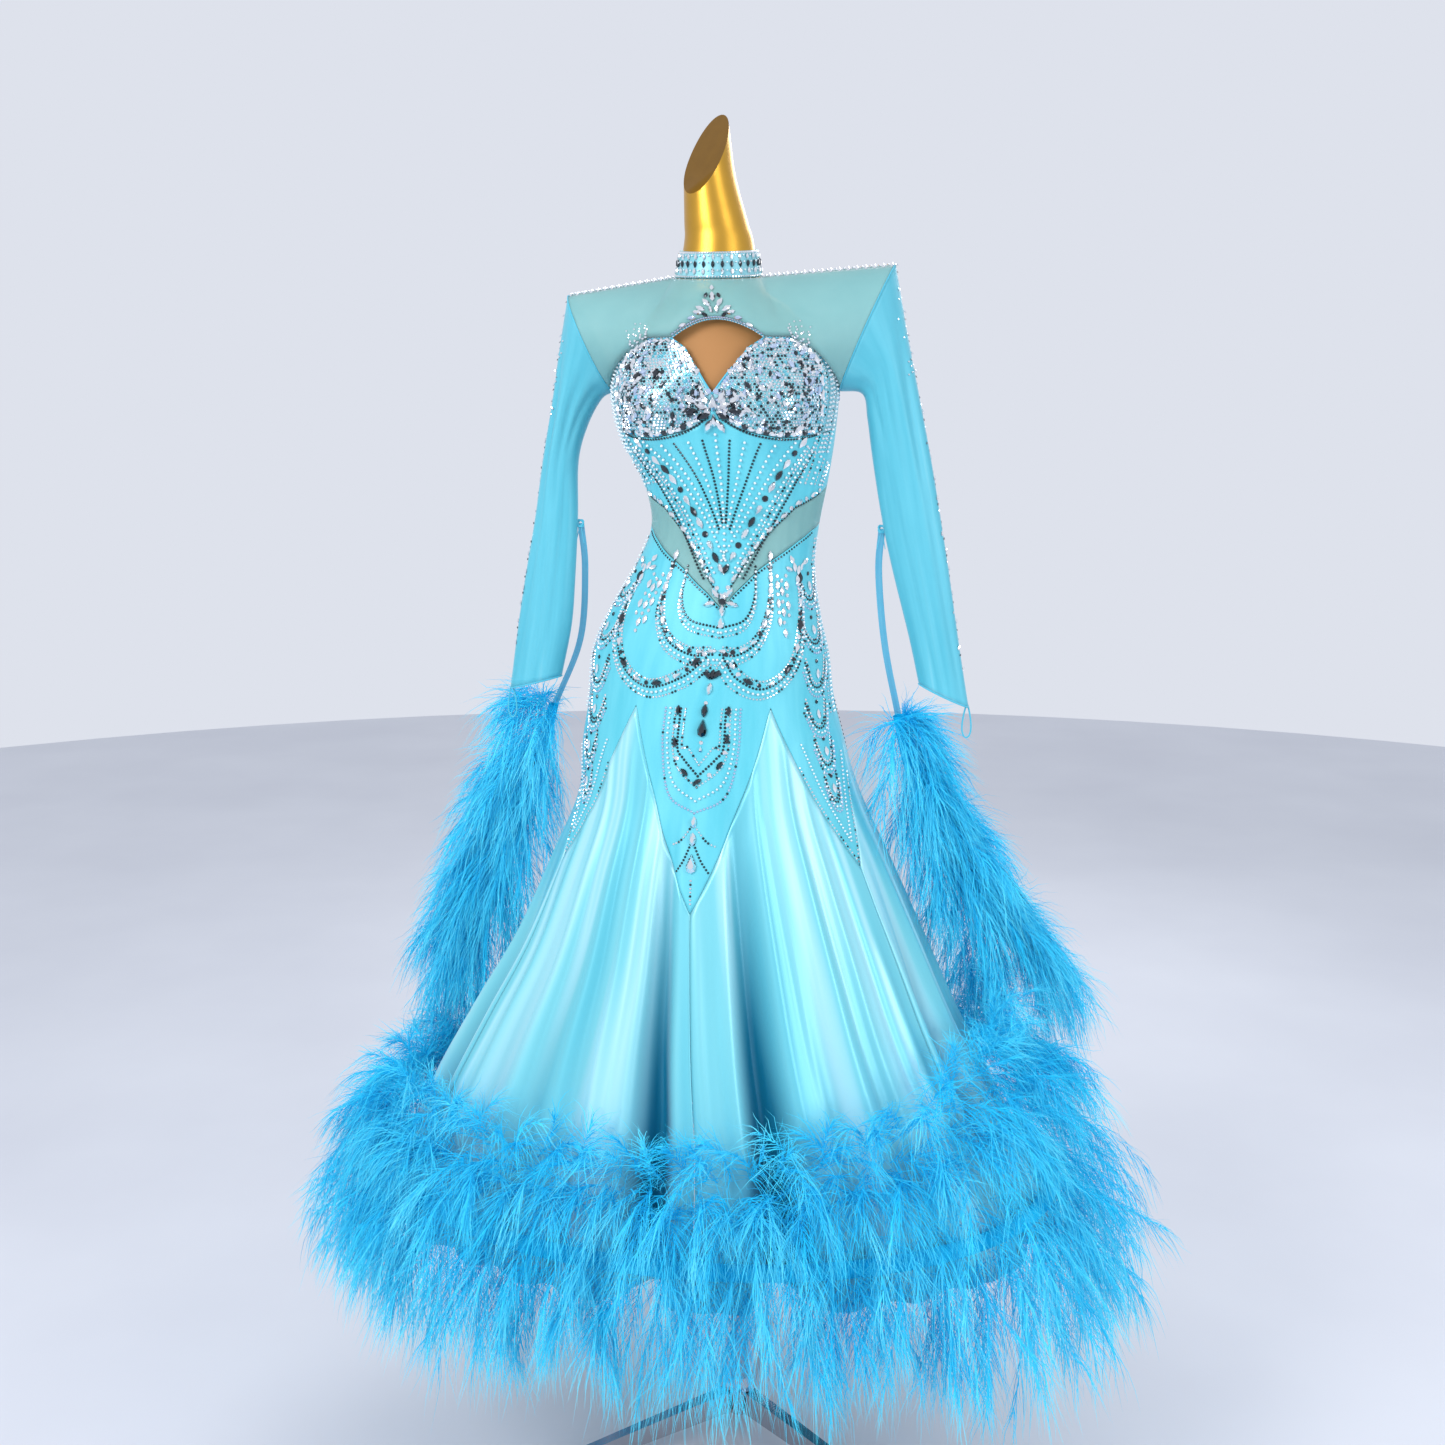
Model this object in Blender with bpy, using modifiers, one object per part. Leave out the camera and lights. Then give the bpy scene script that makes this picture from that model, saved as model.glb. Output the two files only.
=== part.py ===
"""A feather-trimmed ballroom gown on its limbless dress form and tripod stand.

Metres, +Z up. The stand's pole is on the Z axis, the floor is z = 0 and the gown's front faces -Y.
An angle round the body is in degrees: 0 is centre front, 90 the wearer's left side (+X), 180 centre back.
"""
import math
import random

import bmesh
import bpy
from mathutils import Vector

CLOTH = 0.0015
MESH_CLOTH = 0.0012
SEAM = 0.0003
EDGE_GAP = 0.0010
COLLAR_WALL = 0.0020
BEAD_RISE = 0.0022
BIG_BEAD_RISE = 0.0030

HEM_Z = 0.385
UNDERSKIRT_HEM_Z = 0.372
UNDERSKIRT_TOP_Z = 0.460
WAIST_Z = 1.325
ARMPIT_Z = 1.494
SIDE = 90.0
DEEP_FOLD = 0.03
NEAR_ANGLE = 1.4

# The gown's outer surface: half widths are taken from the centre line, which the hip's tilt moves sideways.
BODY_RINGS = (
    # z, centre_x, left, right, front, back
    (0.370, -0.020, 0.487, 0.471, 0.322, 0.340),
    (0.400, -0.020, 0.475, 0.455, 0.312, 0.330),
    (0.546, -0.022, 0.412, 0.378, 0.272, 0.286),
    (0.664, -0.032, 0.335, 0.327, 0.236, 0.248),
    (0.766, -0.038, 0.268, 0.287, 0.205, 0.215),
    (0.880, -0.042, 0.213, 0.240, 0.172, 0.182),
    (0.965, -0.041, 0.180, 0.201, 0.147, 0.155),
    (1.037, -0.036, 0.179, 0.175, 0.131, 0.136),
    (1.096, -0.031, 0.174, 0.155, 0.121, 0.124),
    (1.154, -0.019, 0.180, 0.136, 0.113, 0.116),
    (1.201, -0.013, 0.167, 0.119, 0.105, 0.104),
    (1.269, -0.011, 0.129, 0.108, 0.092, 0.082),
    (1.322, -0.011, 0.108, 0.113, 0.086, 0.074),
    (1.380, -0.014, 0.116, 0.127, 0.092, 0.078),
    (1.432, -0.019, 0.138, 0.140, 0.103, 0.084),
    (1.494, -0.022, 0.147, 0.148, 0.113, 0.088),
    (1.560, -0.018, 0.140, 0.140, 0.101, 0.084),
    (1.600, -0.024, 0.118, 0.118, 0.082, 0.076),
)
BUST_RISE = 0.020
BUST_ANGLE = 34.0
BUST_SPREAD = 19.0
BUST_Z = 1.475
BUST_HEIGHT = 0.042

# Valleys of the skirt. A valley deepens from its start down to the hem.
FOLDS = (
    # centre_angle, half_width, depth, start_z
    (-163.0, 7.0, 0.050, 0.93),
    (-137.0, 7.0, 0.055, 0.93),
    (-104.0, 8.0, 0.058, 0.95),
    (-86.0, 4.5, 0.016, 0.85),
    (-71.0, 6.5, 0.042, 0.90),
    (-47.0, 5.0, 0.016, 0.85),
    (-35.0, 5.0, 0.018, 0.90),
    (-24.5, 4.0, 0.012, 0.85),
    (-8.5, 5.5, 0.072, 0.98),
    (15.5, 6.5, 0.080, 1.00),
    (31.0, 5.0, 0.014, 0.85),
    (44.0, 5.0, 0.012, 0.80),
    (70.0, 6.5, 0.040, 0.90),
    (88.0, 5.0, 0.018, 0.85),
    (106.0, 8.0, 0.055, 0.95),
    (136.0, 7.0, 0.058, 0.93),
    (161.0, 7.0, 0.054, 0.93),
)

# The upper pieces share these angles, so that their seams run side by side.
UPPER_ANGLES = (0, 8, 16, 24, 32, 40, 48, 55, 62, 71, 81, 90)
# Seams across the body, as heights by angle from centre front, the same on both sides.
CUP_TOP = ((0, 1.490), (8, 1.520), (16, 1.546), (24, 1.558), (40, 1.558), (55, 1.541), (71, 1.518), (90, 1.494))
CUP_LOW = ((0, 1.472), (8, 1.450), (16, 1.443), (32, 1.435), (62, 1.440), (90, 1.450))
CORSET_EDGE = ((0, 1.232), (16, 1.283), (32, 1.320), (48, 1.347), (71, 1.363), (90, 1.375))
HIP_TOP = ((0, 1.222), (8, 1.242), (24, 1.271), (32, 1.281), (55, 1.305), (71, 1.318), (90, 1.325))
BACK_TOP = ((90, 1.494), (109, 1.488), (125, 1.476), (148, 1.461), (180, 1.452))
HIP_POINTS = ((0, 0.843), (32, 1.097), (62, 0.885), (90, 1.085), (123, 0.865), (150, 1.085), (180, 0.845))
GODET_SEAMS = (-180.0, -123.0, -62.0, 0.0, 62.0, 123.0, 180.0)
GODET_NAMES = ("godet_back_right", "godet_side_right", "godet_front_right",
               "godet_front_left", "godet_side_left", "godet_back_left")
KEYHOLE_ANGLE = 24.0
KEYHOLE_Z = 1.558
KEYHOLE_RISE = 0.022

COLLAR_X = -0.030
COLLAR_LOW_Z = 1.631
COLLAR_TOP_Z = 1.664
COLLAR_LOW_RADIUS = 0.056
COLLAR_TOP_RADIUS = 0.050
COLLAR_BACK_RISE = 0.014
COLLAR_COLUMNS = 40

SHOULDERS = {"right": Vector((-0.226, 0.0, 1.617)), "left": Vector((0.195, 0.0, 1.650))}
ARMHOLE_DEPTH = 0.050
# The yoke's rows, at the heights of the corners of the sleeve's ring.
YOKE_SHARES = (0.0, 0.146, 0.309, 0.5, 0.691, 0.854, 1.0)
COLLAR_SHARE = 40.0
# The share of the armholes' swell that is left at centre front and centre back.
YOKE_SWELL = 0.34

# Sleeve sections, from the armhole to the cuff, as an outer and an inner edge point.
SLEEVE_SECTIONS = {
    "right": (
        # outer_x, outer_z, inner_x, inner_z, half_depth
        (-0.241, 1.542, -0.186, 1.484, 0.034),
        (-0.251, 1.483, -0.205, 1.450, 0.026),
        (-0.266, 1.404, -0.218, 1.404, 0.021),
        (-0.278, 1.330, -0.220, 1.330, 0.019),
        (-0.292, 1.258, -0.225, 1.250, 0.018),
        (-0.304, 1.190, -0.231, 1.186, 0.018),
        (-0.318, 1.098, -0.246, 1.116, 0.018),
    ),
    "left": (
        (0.212, 1.565, 0.156, 1.490, 0.034),
        (0.227, 1.495, 0.163, 1.458, 0.026),
        (0.245, 1.410, 0.170, 1.410, 0.021),
        (0.259, 1.335, 0.183, 1.335, 0.019),
        (0.271, 1.268, 0.198, 1.268, 0.018),
        (0.288, 1.165, 0.222, 1.177, 0.018),
        (0.302, 1.086, 0.236, 1.116, 0.018),
    ),
}
SLEEVE_SIDES = 16
LOOP_LENGTH = 0.044
LOOP_WIDTH = 0.016
LOOP_CORD = 0.0022

# The feather boas of the floats, from the wrist down beside the skirt.
FLOAT_ROUTES = {
    "right": (
        (-0.272, 0.056, 1.066), (-0.292, 0.066, 0.995), (-0.320, 0.084, 0.915),
        (-0.354, 0.104, 0.830), (-0.392, 0.126, 0.745), (-0.430, 0.148, 0.672),
    ),
    "left": (
        (0.208, 0.056, 1.062), (0.224, 0.066, 0.990), (0.250, 0.086, 0.910),
        (0.288, 0.108, 0.825), (0.342, 0.134, 0.750), (0.408, 0.154, 0.692),
    ),
}
# The ties, from the elbow down to the boa.
TIE_ROUTES = {
    "right": ((-0.2172, 0.004, 1.322), (-0.217, 0.024, 1.258), (-0.230, 0.044, 1.160)),
    "left": ((0.1838, 0.004, 1.318), (0.180, 0.024, 1.258), (0.189, 0.044, 1.160)),
}
FLOAT_COLUMNS = 12
FLOAT_TUBE = 0.009
FLOAT_SEAT = 0.0086
FLOAT_LOCK_WIDTH = 0.020
FLOAT_ROWS = (
    # direction, length, droop
    (8.0, 0.092, 0.30),
    (72.0, 0.085, 0.30),
    (130.0, 0.060, 0.20),
)
TIE_WIDTH = 0.009
TIE_ROWS = 7
FLOAT_WIDTH = 0.085

HEM_COLUMNS = 38
HEM_TUBE = 0.012
HEM_TUBE_Z = 0.430
HEM_LOCK_WIDTH = 0.032
HEM_ROWS = (
    # direction, length, droop
    (64.0, 0.130, 0.06),
    (24.0, 0.132, 0.20),
    (-14.0, 0.132, 0.34),
    (-44.0, 0.128, 0.30),
)
# How much longer the feathers are on the wearer's left, where they spread most.
HEM_LEFT_SPREAD = 0.36
TUBE_SIDES = 6
LOCK_THICKNESS = 0.012
LOCK_SEED = 7

FORM_INSET = 0.0080
FORM_HIP_INSET = 0.0150
FORM_COLUMNS = 32
FORM_BOTTOM_Z = 0.930
FORM_RING_Z = (0.960, 1.030, 1.096, 1.154, 1.201, 1.250, 1.322, 1.380, 1.430, 1.470, 1.505)
COLLAR_RING_Z = (1.631, 1.648, 1.684)
FORM_SHOULDERS = (
    # z, centre_x, side, front, back
    (1.545, -0.021, 0.122, 0.094, 0.066),
    (1.575, -0.024, 0.106, 0.083, 0.057),
    (1.598, -0.026, 0.088, 0.069, 0.052),
    (1.610, -0.028, 0.072, 0.059, 0.0505),
    (1.621, -0.030, 0.060, 0.0545, 0.0520),
)
FORM_NECK = (
    # z, centre_x, side, front, back
    (1.705, -0.0335, 0.0405, 0.0425, 0.0425),
    (1.760, -0.0415, 0.0330, 0.0400, 0.0360),
    (1.800, -0.0440, 0.0295, 0.0384, 0.0346),
    (1.860, -0.0470, 0.0255, 0.0360, 0.0324),
)
NECK_CUT_POINT = Vector((-0.043, 0.0, 1.794))
NECK_CUT_NORMAL = Vector((-0.545, -0.650, 0.530))

POLE_RADIUS = 0.0125
HUB_RADIUS = 0.0200
HUB_LOW_Z = 0.036
HUB_TOP_Z = 0.078
LEG_HEADINGS = (208.0, 328.0, 88.0)
LEG_SECTIONS = (
    # reach, low_z, top_z, width
    (0.0203, 0.042, 0.072, 0.026),
    (0.2500, 0.002, 0.022, 0.018),
    (0.2620, 0.000, 0.020, 0.018),
    (0.3000, 0.000, 0.013, 0.016),
)

GOWN_BLUE = (0.10, 0.52, 0.70, 1.0)
MESH_BLUE = (0.16, 0.60, 0.74, 1.0)
MESH_TEAL = (0.28, 0.50, 0.50, 1.0)
FEATHER_BLUE = (0.01, 0.42, 0.80, 1.0)
STONE_GREY = (0.62, 0.72, 0.78, 1.0)
GOLD = (0.62, 0.34, 0.06, 1.0)
CHROME = (0.62, 0.62, 0.64, 1.0)


def clear_scene():
    for old in list(bpy.data.objects):
        bpy.data.objects.remove(old, do_unlink=True)


def material(name, colour, roughness, metallic=0.0):
    made = bpy.data.materials.new(name)
    made.use_nodes = True
    shader = made.node_tree.nodes["Principled BSDF"]
    shader.inputs["Base Color"].default_value = colour
    shader.inputs["Roughness"].default_value = roughness
    shader.inputs["Metallic"].default_value = metallic
    return made


def add_object(name, mesh, finish, collection):
    mesh.materials.append(finish)
    made = bpy.data.objects.new(name, mesh)
    collection.objects.link(made)
    return made


def mesh_from(name, points, faces):
    """One closed mesh with its faces pointing out."""
    mesh = bpy.data.meshes.new(name)
    mesh.from_pydata([tuple(p) for p in points], [], faces)
    work = bmesh.new()
    work.from_mesh(mesh)
    bmesh.ops.recalc_face_normals(work, faces=work.faces)
    work.to_mesh(mesh)
    work.free()
    return mesh


def wall(name, outer, inner, finish, collection, ring=False):
    """A cloth wall between two grids of points. Each grid is a list of columns; ring joins the last to the first."""
    columns = len(outer)
    rows = len(outer[0])
    points = [p for line in outer for p in line] + [p for line in inner for p in line]
    back = columns * rows
    faces = []
    spans = columns if ring else columns - 1
    for i in range(spans):
        k = (i + 1) % columns
        for j in range(rows - 1):
            a, b, c, d = i * rows + j, k * rows + j, k * rows + j + 1, i * rows + j + 1
            faces.append((a, b, c, d))
            faces.append((back + a, back + d, back + c, back + b))
        for j in (0, rows - 1):
            a, b = i * rows + j, k * rows + j
            faces.append((a, back + a, back + b, b))
    if not ring:
        for i in (0, columns - 1):
            for j in range(rows - 1):
                a, b = i * rows + j, i * rows + j + 1
                faces.append((a, b, back + b, back + a))
    return add_object(name, mesh_from(name, points, faces), finish, collection)


def loft(name, rings, finish, collection):
    """A closed solid through rings of equal length, with flat ends."""
    count = len(rings[0])
    points = [p for ring in rings for p in ring]
    faces = [tuple(range(count)), tuple(range(len(points) - count, len(points)))]
    for k in range(len(rings) - 1):
        for i in range(count):
            n = (i + 1) % count
            faces.append((k * count + i, k * count + n, (k + 1) * count + n, (k + 1) * count + i))
    return add_object(name, mesh_from(name, points, faces), finish, collection)


def smooth_value(table, column, where):
    """A smooth curve through one column of a table whose first column rises."""
    keys = [row[0] for row in table]
    values = [row[column] for row in table]
    last = len(keys) - 1
    k = max(0, min(last - 1, sum(1 for key in keys if key <= where) - 1))

    def slope(i):
        low, high = max(0, i - 1), min(last, i + 1)
        return (values[high] - values[low]) / (keys[high] - keys[low])

    span = keys[k + 1] - keys[k]
    t = (where - keys[k]) / span
    start, end = slope(k) * span, slope(k + 1) * span
    return ((2 * t**3 - 3 * t**2 + 1) * values[k] + (t**3 - 2 * t**2 + t) * start
            + (3 * t**2 - 2 * t**3) * values[k + 1] + (t**3 - t**2) * end)


def straight_value(table, angle):
    """Straight runs between the rows of a table of (angle, height), for either side of the body."""
    angle = abs((angle + 180.0) % 360.0 - 180.0)
    for (a0, z0), (a1, z1) in zip(table, table[1:]):
        if angle <= a1:
            return z0 + (z1 - z0) * (angle - a0) / (a1 - a0)
    return table[-1][1]


def bust_rise(z, angle):
    rise = 0.0
    for centre in (-BUST_ANGLE, BUST_ANGLE):
        across = (angle - centre) / BUST_SPREAD
        up = (z - BUST_Z) / BUST_HEIGHT
        rise += BUST_RISE * math.exp(-across**2 - up**2)
    return rise


def fold_depth(z, angle):
    depth = 0.0
    for centre, half_width, deepest, start_z in FOLDS:
        across = abs(angle - centre) / half_width
        if across < 1.0 and z < start_z:
            down = min(1.0, (start_z - z) / (start_z - HEM_Z))
            depth += deepest * math.cos(across * math.pi / 2) ** 2 * down**1.1
    return depth


def body_point(z, angle, folded=True):
    """A point of the gown's outer surface."""
    angle = (angle + 180.0) % 360.0 - 180.0
    turn = math.radians(angle)
    centre_x, left, right, front, back = (smooth_value(BODY_RINGS, c, z) for c in range(1, 6))
    rise = bust_rise(z, angle)
    side = (right if turn > 0 else left) + rise
    depth = (front if abs(angle) < SIDE else back) + rise
    arm = Vector((side * math.sin(turn), -depth * math.cos(turn), 0.0))
    if folded:
        arm *= 1.0 - fold_depth(z, angle) / arm.length
    return Vector((centre_x + arm.x, arm.y, z))


def outward(z, angle, folded=True):
    """The level direction that points straight out of the surface."""
    step = 0.2
    along = body_point(z, angle + step, folded) - body_point(z, angle - step, folded)
    return Vector((along.y, -along.x, 0.0)).normalized()


def shifted(z, angle, distance):
    return body_point(z, angle) + outward(z, angle) * distance


def seam_angle(z, angle, side):
    """The angle half a seam away from another, on the side given as +1 or -1."""
    per_degree = (body_point(z, angle + 0.5) - body_point(z, angle - 0.5)).length
    return angle + side * 0.5 * SEAM / per_degree


def body_panel(name, angles, low, high, shares, finish, collection, thick=CLOTH, rise=None):
    """A panel between two seams across the body. shares places its rows from low to high."""
    outer, inner = [], []
    for i, angle in enumerate(angles):
        z_low, z_high = low(angle), high(angle)
        levels = [z_low + (z_high - z_low) * share for share in shares]
        edges = [angle] * len(levels)
        if i in (0, len(angles) - 1):
            edges = [seam_angle(z, angle, 1 if i == 0 else -1) for z in levels]
        lifts = [rise(i, j) if rise else 0.0 for j in range(len(levels))]
        outer.append([shifted(z, a, lift) for z, a, lift in zip(levels, edges, lifts)])
        inner.append([shifted(z, a, -thick) for z, a in zip(levels, edges)])
    return wall(name, outer, inner, finish, collection)


def mirrored(angles):
    return [-a for a in reversed(angles) if a] + list(angles)


def skirt_angles(low, high):
    """The angles of the skirt's columns between two limits, with both: its seams, its top's corners and its folds."""
    fixed = [s * a for a, _ in HIP_POINTS for s in (-1.0, 1.0)] + [-SIDE, SIDE]
    marks = []
    for centre, half_width, depth, _ in FOLDS:
        steps = (-1.0, -0.5, 0.0, 0.5, 1.0) if depth > DEEP_FOLD else (-1.0, 0.0, 1.0)
        marks += [centre + step * half_width for step in steps]
    marks = [m for m in marks if all(abs(m - f) > NEAR_ANGLE for f in fixed)]
    upper = [s * a for a, _ in HIP_TOP for s in (-1.0, 1.0)]
    upper = [u for u in upper if all(abs(u - m) > NEAR_ANGLE for m in marks)]
    return sorted({float(a) for a in fixed + marks + upper if low <= a <= high})


def back_angles():
    """The upper angles round the back, from one side seam to the other."""
    return [180.0 - a for a in reversed(UPPER_ANGLES)] + [180.0 + a for a in UPPER_ANGLES if a]


def hip_points(angle):
    return straight_value(HIP_POINTS, angle)


def make_form(finish, collection):
    rings = []
    turns = [math.radians(360.0 * i / FORM_COLUMNS) for i in range(FORM_COLUMNS)]
    rings.append([body_point(FORM_BOTTOM_Z + 0.03, math.degrees(t), False) for t in turns])
    centre = sum(rings[0], Vector()) / FORM_COLUMNS
    rings[0] = [centre + (p - centre) * 0.80 + Vector((0, 0, FORM_BOTTOM_Z - centre.z)) for p in rings[0]]
    for z in FORM_RING_Z:
        ring = []
        for turn in turns:
            angle = math.degrees(turn)
            inset = FORM_HIP_INSET if z < WAIST_Z - 0.01 else FORM_INSET
            ring.append(body_point(z, angle, False) - outward(z, angle, False) * inset)
        rings.append(ring)
    rows = list(FORM_SHOULDERS)
    for z in COLLAR_RING_Z:
        radius = collar_radius(z) - COLLAR_WALL - SEAM
        rows.append((z, COLLAR_X, radius, radius, radius))
    rows += FORM_NECK
    for z, centre_x, side, front, back in rows:
        ring = []
        for turn in turns:
            depth = front if math.cos(turn) > 0 else back
            ring.append(Vector((centre_x + side * math.sin(turn), -depth * math.cos(turn), z)))
        rings.append(ring)
    form = loft("form_torso", rings, finish, collection)
    work = bmesh.new()
    work.from_mesh(form.data)
    cut = bmesh.ops.bisect_plane(work, geom=work.verts[:] + work.edges[:] + work.faces[:],
                                 plane_co=NECK_CUT_POINT, plane_no=NECK_CUT_NORMAL, clear_outer=True)
    rim = [part for part in cut["geom_cut"] if isinstance(part, bmesh.types.BMEdge)]
    bmesh.ops.contextual_create(work, geom=rim)
    bmesh.ops.recalc_face_normals(work, faces=work.faces)
    work.to_mesh(form.data)
    work.free()
    form.data.shade_smooth()


def make_stand(finish, collection):
    profile = (
        (POLE_RADIUS, FORM_BOTTOM_Z - SEAM), (POLE_RADIUS, HUB_TOP_Z + 0.012),
        (HUB_RADIUS - 0.003, HUB_TOP_Z), (HUB_RADIUS, HUB_TOP_Z - 0.004),
        (HUB_RADIUS, HUB_LOW_Z + 0.003), (HUB_RADIUS - 0.003, HUB_LOW_Z),
    )
    points = [(0.0, 0.0, profile[0][1])] + [(r, 0.0, z) for r, z in profile] + [(0.0, 0.0, HUB_LOW_Z)]
    mesh = bpy.data.meshes.new("stand_pole")
    mesh.from_pydata(points, [(i, i + 1) for i in range(len(points) - 1)], [])
    pole = add_object("stand_pole", mesh, finish, collection)
    turned = pole.modifiers.new("Turned", "SCREW")
    turned.steps = turned.render_steps = 20
    turned.use_merge_vertices = True
    turned.merge_threshold = 0.0001
    for number, heading in enumerate(LEG_HEADINGS, start=1):
        along = Vector((math.cos(math.radians(heading)), math.sin(math.radians(heading)), 0.0))
        across = Vector((-along.y, along.x, 0.0))
        rings = []
        for reach, low_z, top_z, width in LEG_SECTIONS:
            corners_of = ((-1, low_z), (1, low_z), (0.75, top_z), (-0.75, top_z))
            rings.append([along * reach + across * (s * width / 2) + Vector((0, 0, z)) for s, z in corners_of])
        loft(f"leg_{number}", rings, finish, collection)


def collar_radius(z):
    share = (z - COLLAR_LOW_Z) / (COLLAR_TOP_Z - COLLAR_LOW_Z)
    return COLLAR_LOW_RADIUS + (COLLAR_TOP_RADIUS - COLLAR_LOW_RADIUS) * share


def collar_point(z, turn, offset=0.0):
    radius = collar_radius(z) + offset
    return Vector((COLLAR_X + radius * math.sin(turn), -radius * math.cos(turn), z))


def collar_low(turn):
    return COLLAR_LOW_Z + COLLAR_BACK_RISE * (1 - math.cos(turn)) / 2


def make_collar(finish, collection):
    """A band whose columns of stones stand out on every second line."""
    outer, inner = [], []
    for i in range(COLLAR_COLUMNS):
        turn = math.radians(360.0 * i / COLLAR_COLUMNS)
        low = collar_low(turn)
        levels = [low, low + 0.004, low + COLLAR_TOP_Z - COLLAR_LOW_Z - 0.004, low + COLLAR_TOP_Z - COLLAR_LOW_Z]
        lift = (0.0, BEAD_RISE, BEAD_RISE, 0.0) if i % 2 == 0 else (0.0, 0.0, 0.0, 0.0)
        outer.append([collar_point(z, turn, rise) for z, rise in zip(levels, lift)])
        inner.append([collar_point(z, turn, -COLLAR_WALL) for z in levels])
    wall("collar", outer, inner, finish, collection, ring=True)


def make_cups(finish, collection):
    angles = list(UPPER_ANGLES)
    shares = (0.0, 0.15, 0.32, 0.50, 0.68, 0.85, 1.0)

    def stones(i, j):
        inside = 0 < i < len(angles) - 1 and 0 < j < len(shares) - 1
        return BEAD_RISE if inside and (i + j) % 2 == 0 else 0.0

    for name, run in (("cup_left", angles), ("cup_right", [-a for a in reversed(angles)])):
        body_panel(name, run,
                   lambda a: straight_value(CUP_LOW, a) + EDGE_GAP / 2,
                   lambda a: straight_value(CUP_TOP, a) - EDGE_GAP / 2,
                   shares, finish, collection, rise=stones)


def make_bodice(finish, collection):
    angles = mirrored(UPPER_ANGLES)
    shares = (0.0, 0.08, 0.25, 0.45, 0.65, 0.84, 1.0)
    middle = len(angles) // 2

    def stones(i, j):
        if j in (1, 5) and 0 < i < len(angles) - 1:
            return BIG_BEAD_RISE if i % 2 == middle % 2 else 0.0
        return BIG_BEAD_RISE if i == middle and j == 3 else 0.0

    body_panel("bodice_front", angles,
               lambda a: straight_value(CORSET_EDGE, a) + EDGE_GAP / 2,
               lambda a: straight_value(CUP_LOW, a) - EDGE_GAP / 2,
               shares, finish, collection, rise=stones)
    body_panel("bodice_back", back_angles(),
               lambda a: WAIST_Z + EDGE_GAP / 2,
               lambda a: straight_value(BACK_TOP, a) - EDGE_GAP / 2,
               (0.0, 0.3, 0.62, 1.0), finish, collection)


def make_insets(finish, collection):
    angles = list(UPPER_ANGLES)
    for name, run in (("mesh_inset_left", angles), ("mesh_inset_right", [-a for a in reversed(angles)])):
        body_panel(name, run,
                   lambda a: straight_value(HIP_TOP, a) + EDGE_GAP / 2,
                   lambda a: straight_value(CORSET_EDGE, a) - EDGE_GAP / 2,
                   (0.0, 0.5, 1.0), finish, collection, thick=MESH_CLOTH)


def make_hip_yokes(finish, collection):
    front = skirt_angles(-SIDE, SIDE)
    shares = (0.0, 0.25, 0.48, 0.68, 0.87, 1.0)
    middle = front.index(0)

    def stones(i, j):
        if j == 4 and 0 < i < len(front) - 1:
            return BEAD_RISE if i % 2 == 0 else 0.0
        return BIG_BEAD_RISE if i == middle and j in (2, 3) else 0.0

    body_panel("hip_yoke_front", front,
               lambda a: hip_points(a) + EDGE_GAP / 2,
               lambda a: straight_value(HIP_TOP, a) - EDGE_GAP / 2,
               shares, finish, collection, rise=stones)
    back = skirt_angles(SIDE, 180.0)[:-1] + [360.0 + a for a in skirt_angles(-180.0, -SIDE)]
    body_panel("hip_yoke_back", back,
               lambda a: hip_points(a) + EDGE_GAP / 2,
               lambda a: WAIST_Z - EDGE_GAP / 2,
               (0.0, 0.28, 0.52, 0.76, 1.0), finish, collection)


def make_godets(finish, collection):
    shares = (0.0, 0.22, 0.47, 0.74, 1.0)
    for name, low_angle, high_angle in zip(GODET_NAMES, GODET_SEAMS, GODET_SEAMS[1:]):
        outer, inner = [], []
        angles = skirt_angles(low_angle, high_angle)
        for i, angle in enumerate(angles):
            top = hip_points(angle) - EDGE_GAP / 2
            levels = [HEM_Z] + [UNDERSKIRT_TOP_Z + (top - UNDERSKIRT_TOP_Z) * share for share in shares]
            end = {0: 1, len(angles) - 1: -1}.get(i, 0)
            turned = [seam_angle(z, angle, end) if end else angle for z in levels]
            outer.append([shifted(z, a, 0.0) for z, a in zip(levels, turned)])
            inner.append([shifted(z, a, -CLOTH) for z, a in zip(levels, turned)])
        wall(name, outer, inner, finish, collection)


def make_underskirt(finish, collection):
    """The organza layer inside the godets. It touches them along its top and hangs free below."""
    levels = (UNDERSKIRT_HEM_Z, UNDERSKIRT_TOP_Z)
    insets = (0.007, CLOTH + SEAM)
    angles = skirt_angles(-180.0, 180.0)[:-1]
    outer = [[shifted(z, a, -inset) for z, inset in zip(levels, insets)] for a in angles]
    inner = [[shifted(z, a, -inset - MESH_CLOTH) for z, inset in zip(levels, insets)] for a in angles]
    wall("underskirt", outer, inner, finish, collection, ring=True)


def armhole(side, turn, depth=ARMHOLE_DEPTH, inset=0.0):
    """The armhole's front half from the armpit up to the shoulder point. A negative depth gives its back half."""
    sign = -1.0 if side == "right" else 1.0
    low = body_point(ARMPIT_Z, sign * SIDE, False)
    top = SHOULDERS[side]
    middle = (low + top) / 2
    arm = (top - low) / 2
    arm = arm * (1.0 - inset / arm.length)
    reach = (abs(depth) - inset) * math.copysign(1.0, depth)
    return middle - arm * math.cos(turn) - Vector((0, reach * math.sin(turn), 0))


def yoke_point(edges, u, v):
    """A patch between four edges: low and high run with u, start and end with v. The armholes' swell fades inwards."""
    low, high, start, end = edges
    flat_start = low(0) * (1 - v) + high(0) * v
    flat_end = low(1) * (1 - v) + high(1) * v
    kept = YOKE_SWELL + (1 - YOKE_SWELL) * abs(1 - 2 * u)
    swell = (start(v) - flat_start) * (1 - u) + (end(v) - flat_end) * u
    return low(u) * (1 - v) + high(u) * v + swell * kept


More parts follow.
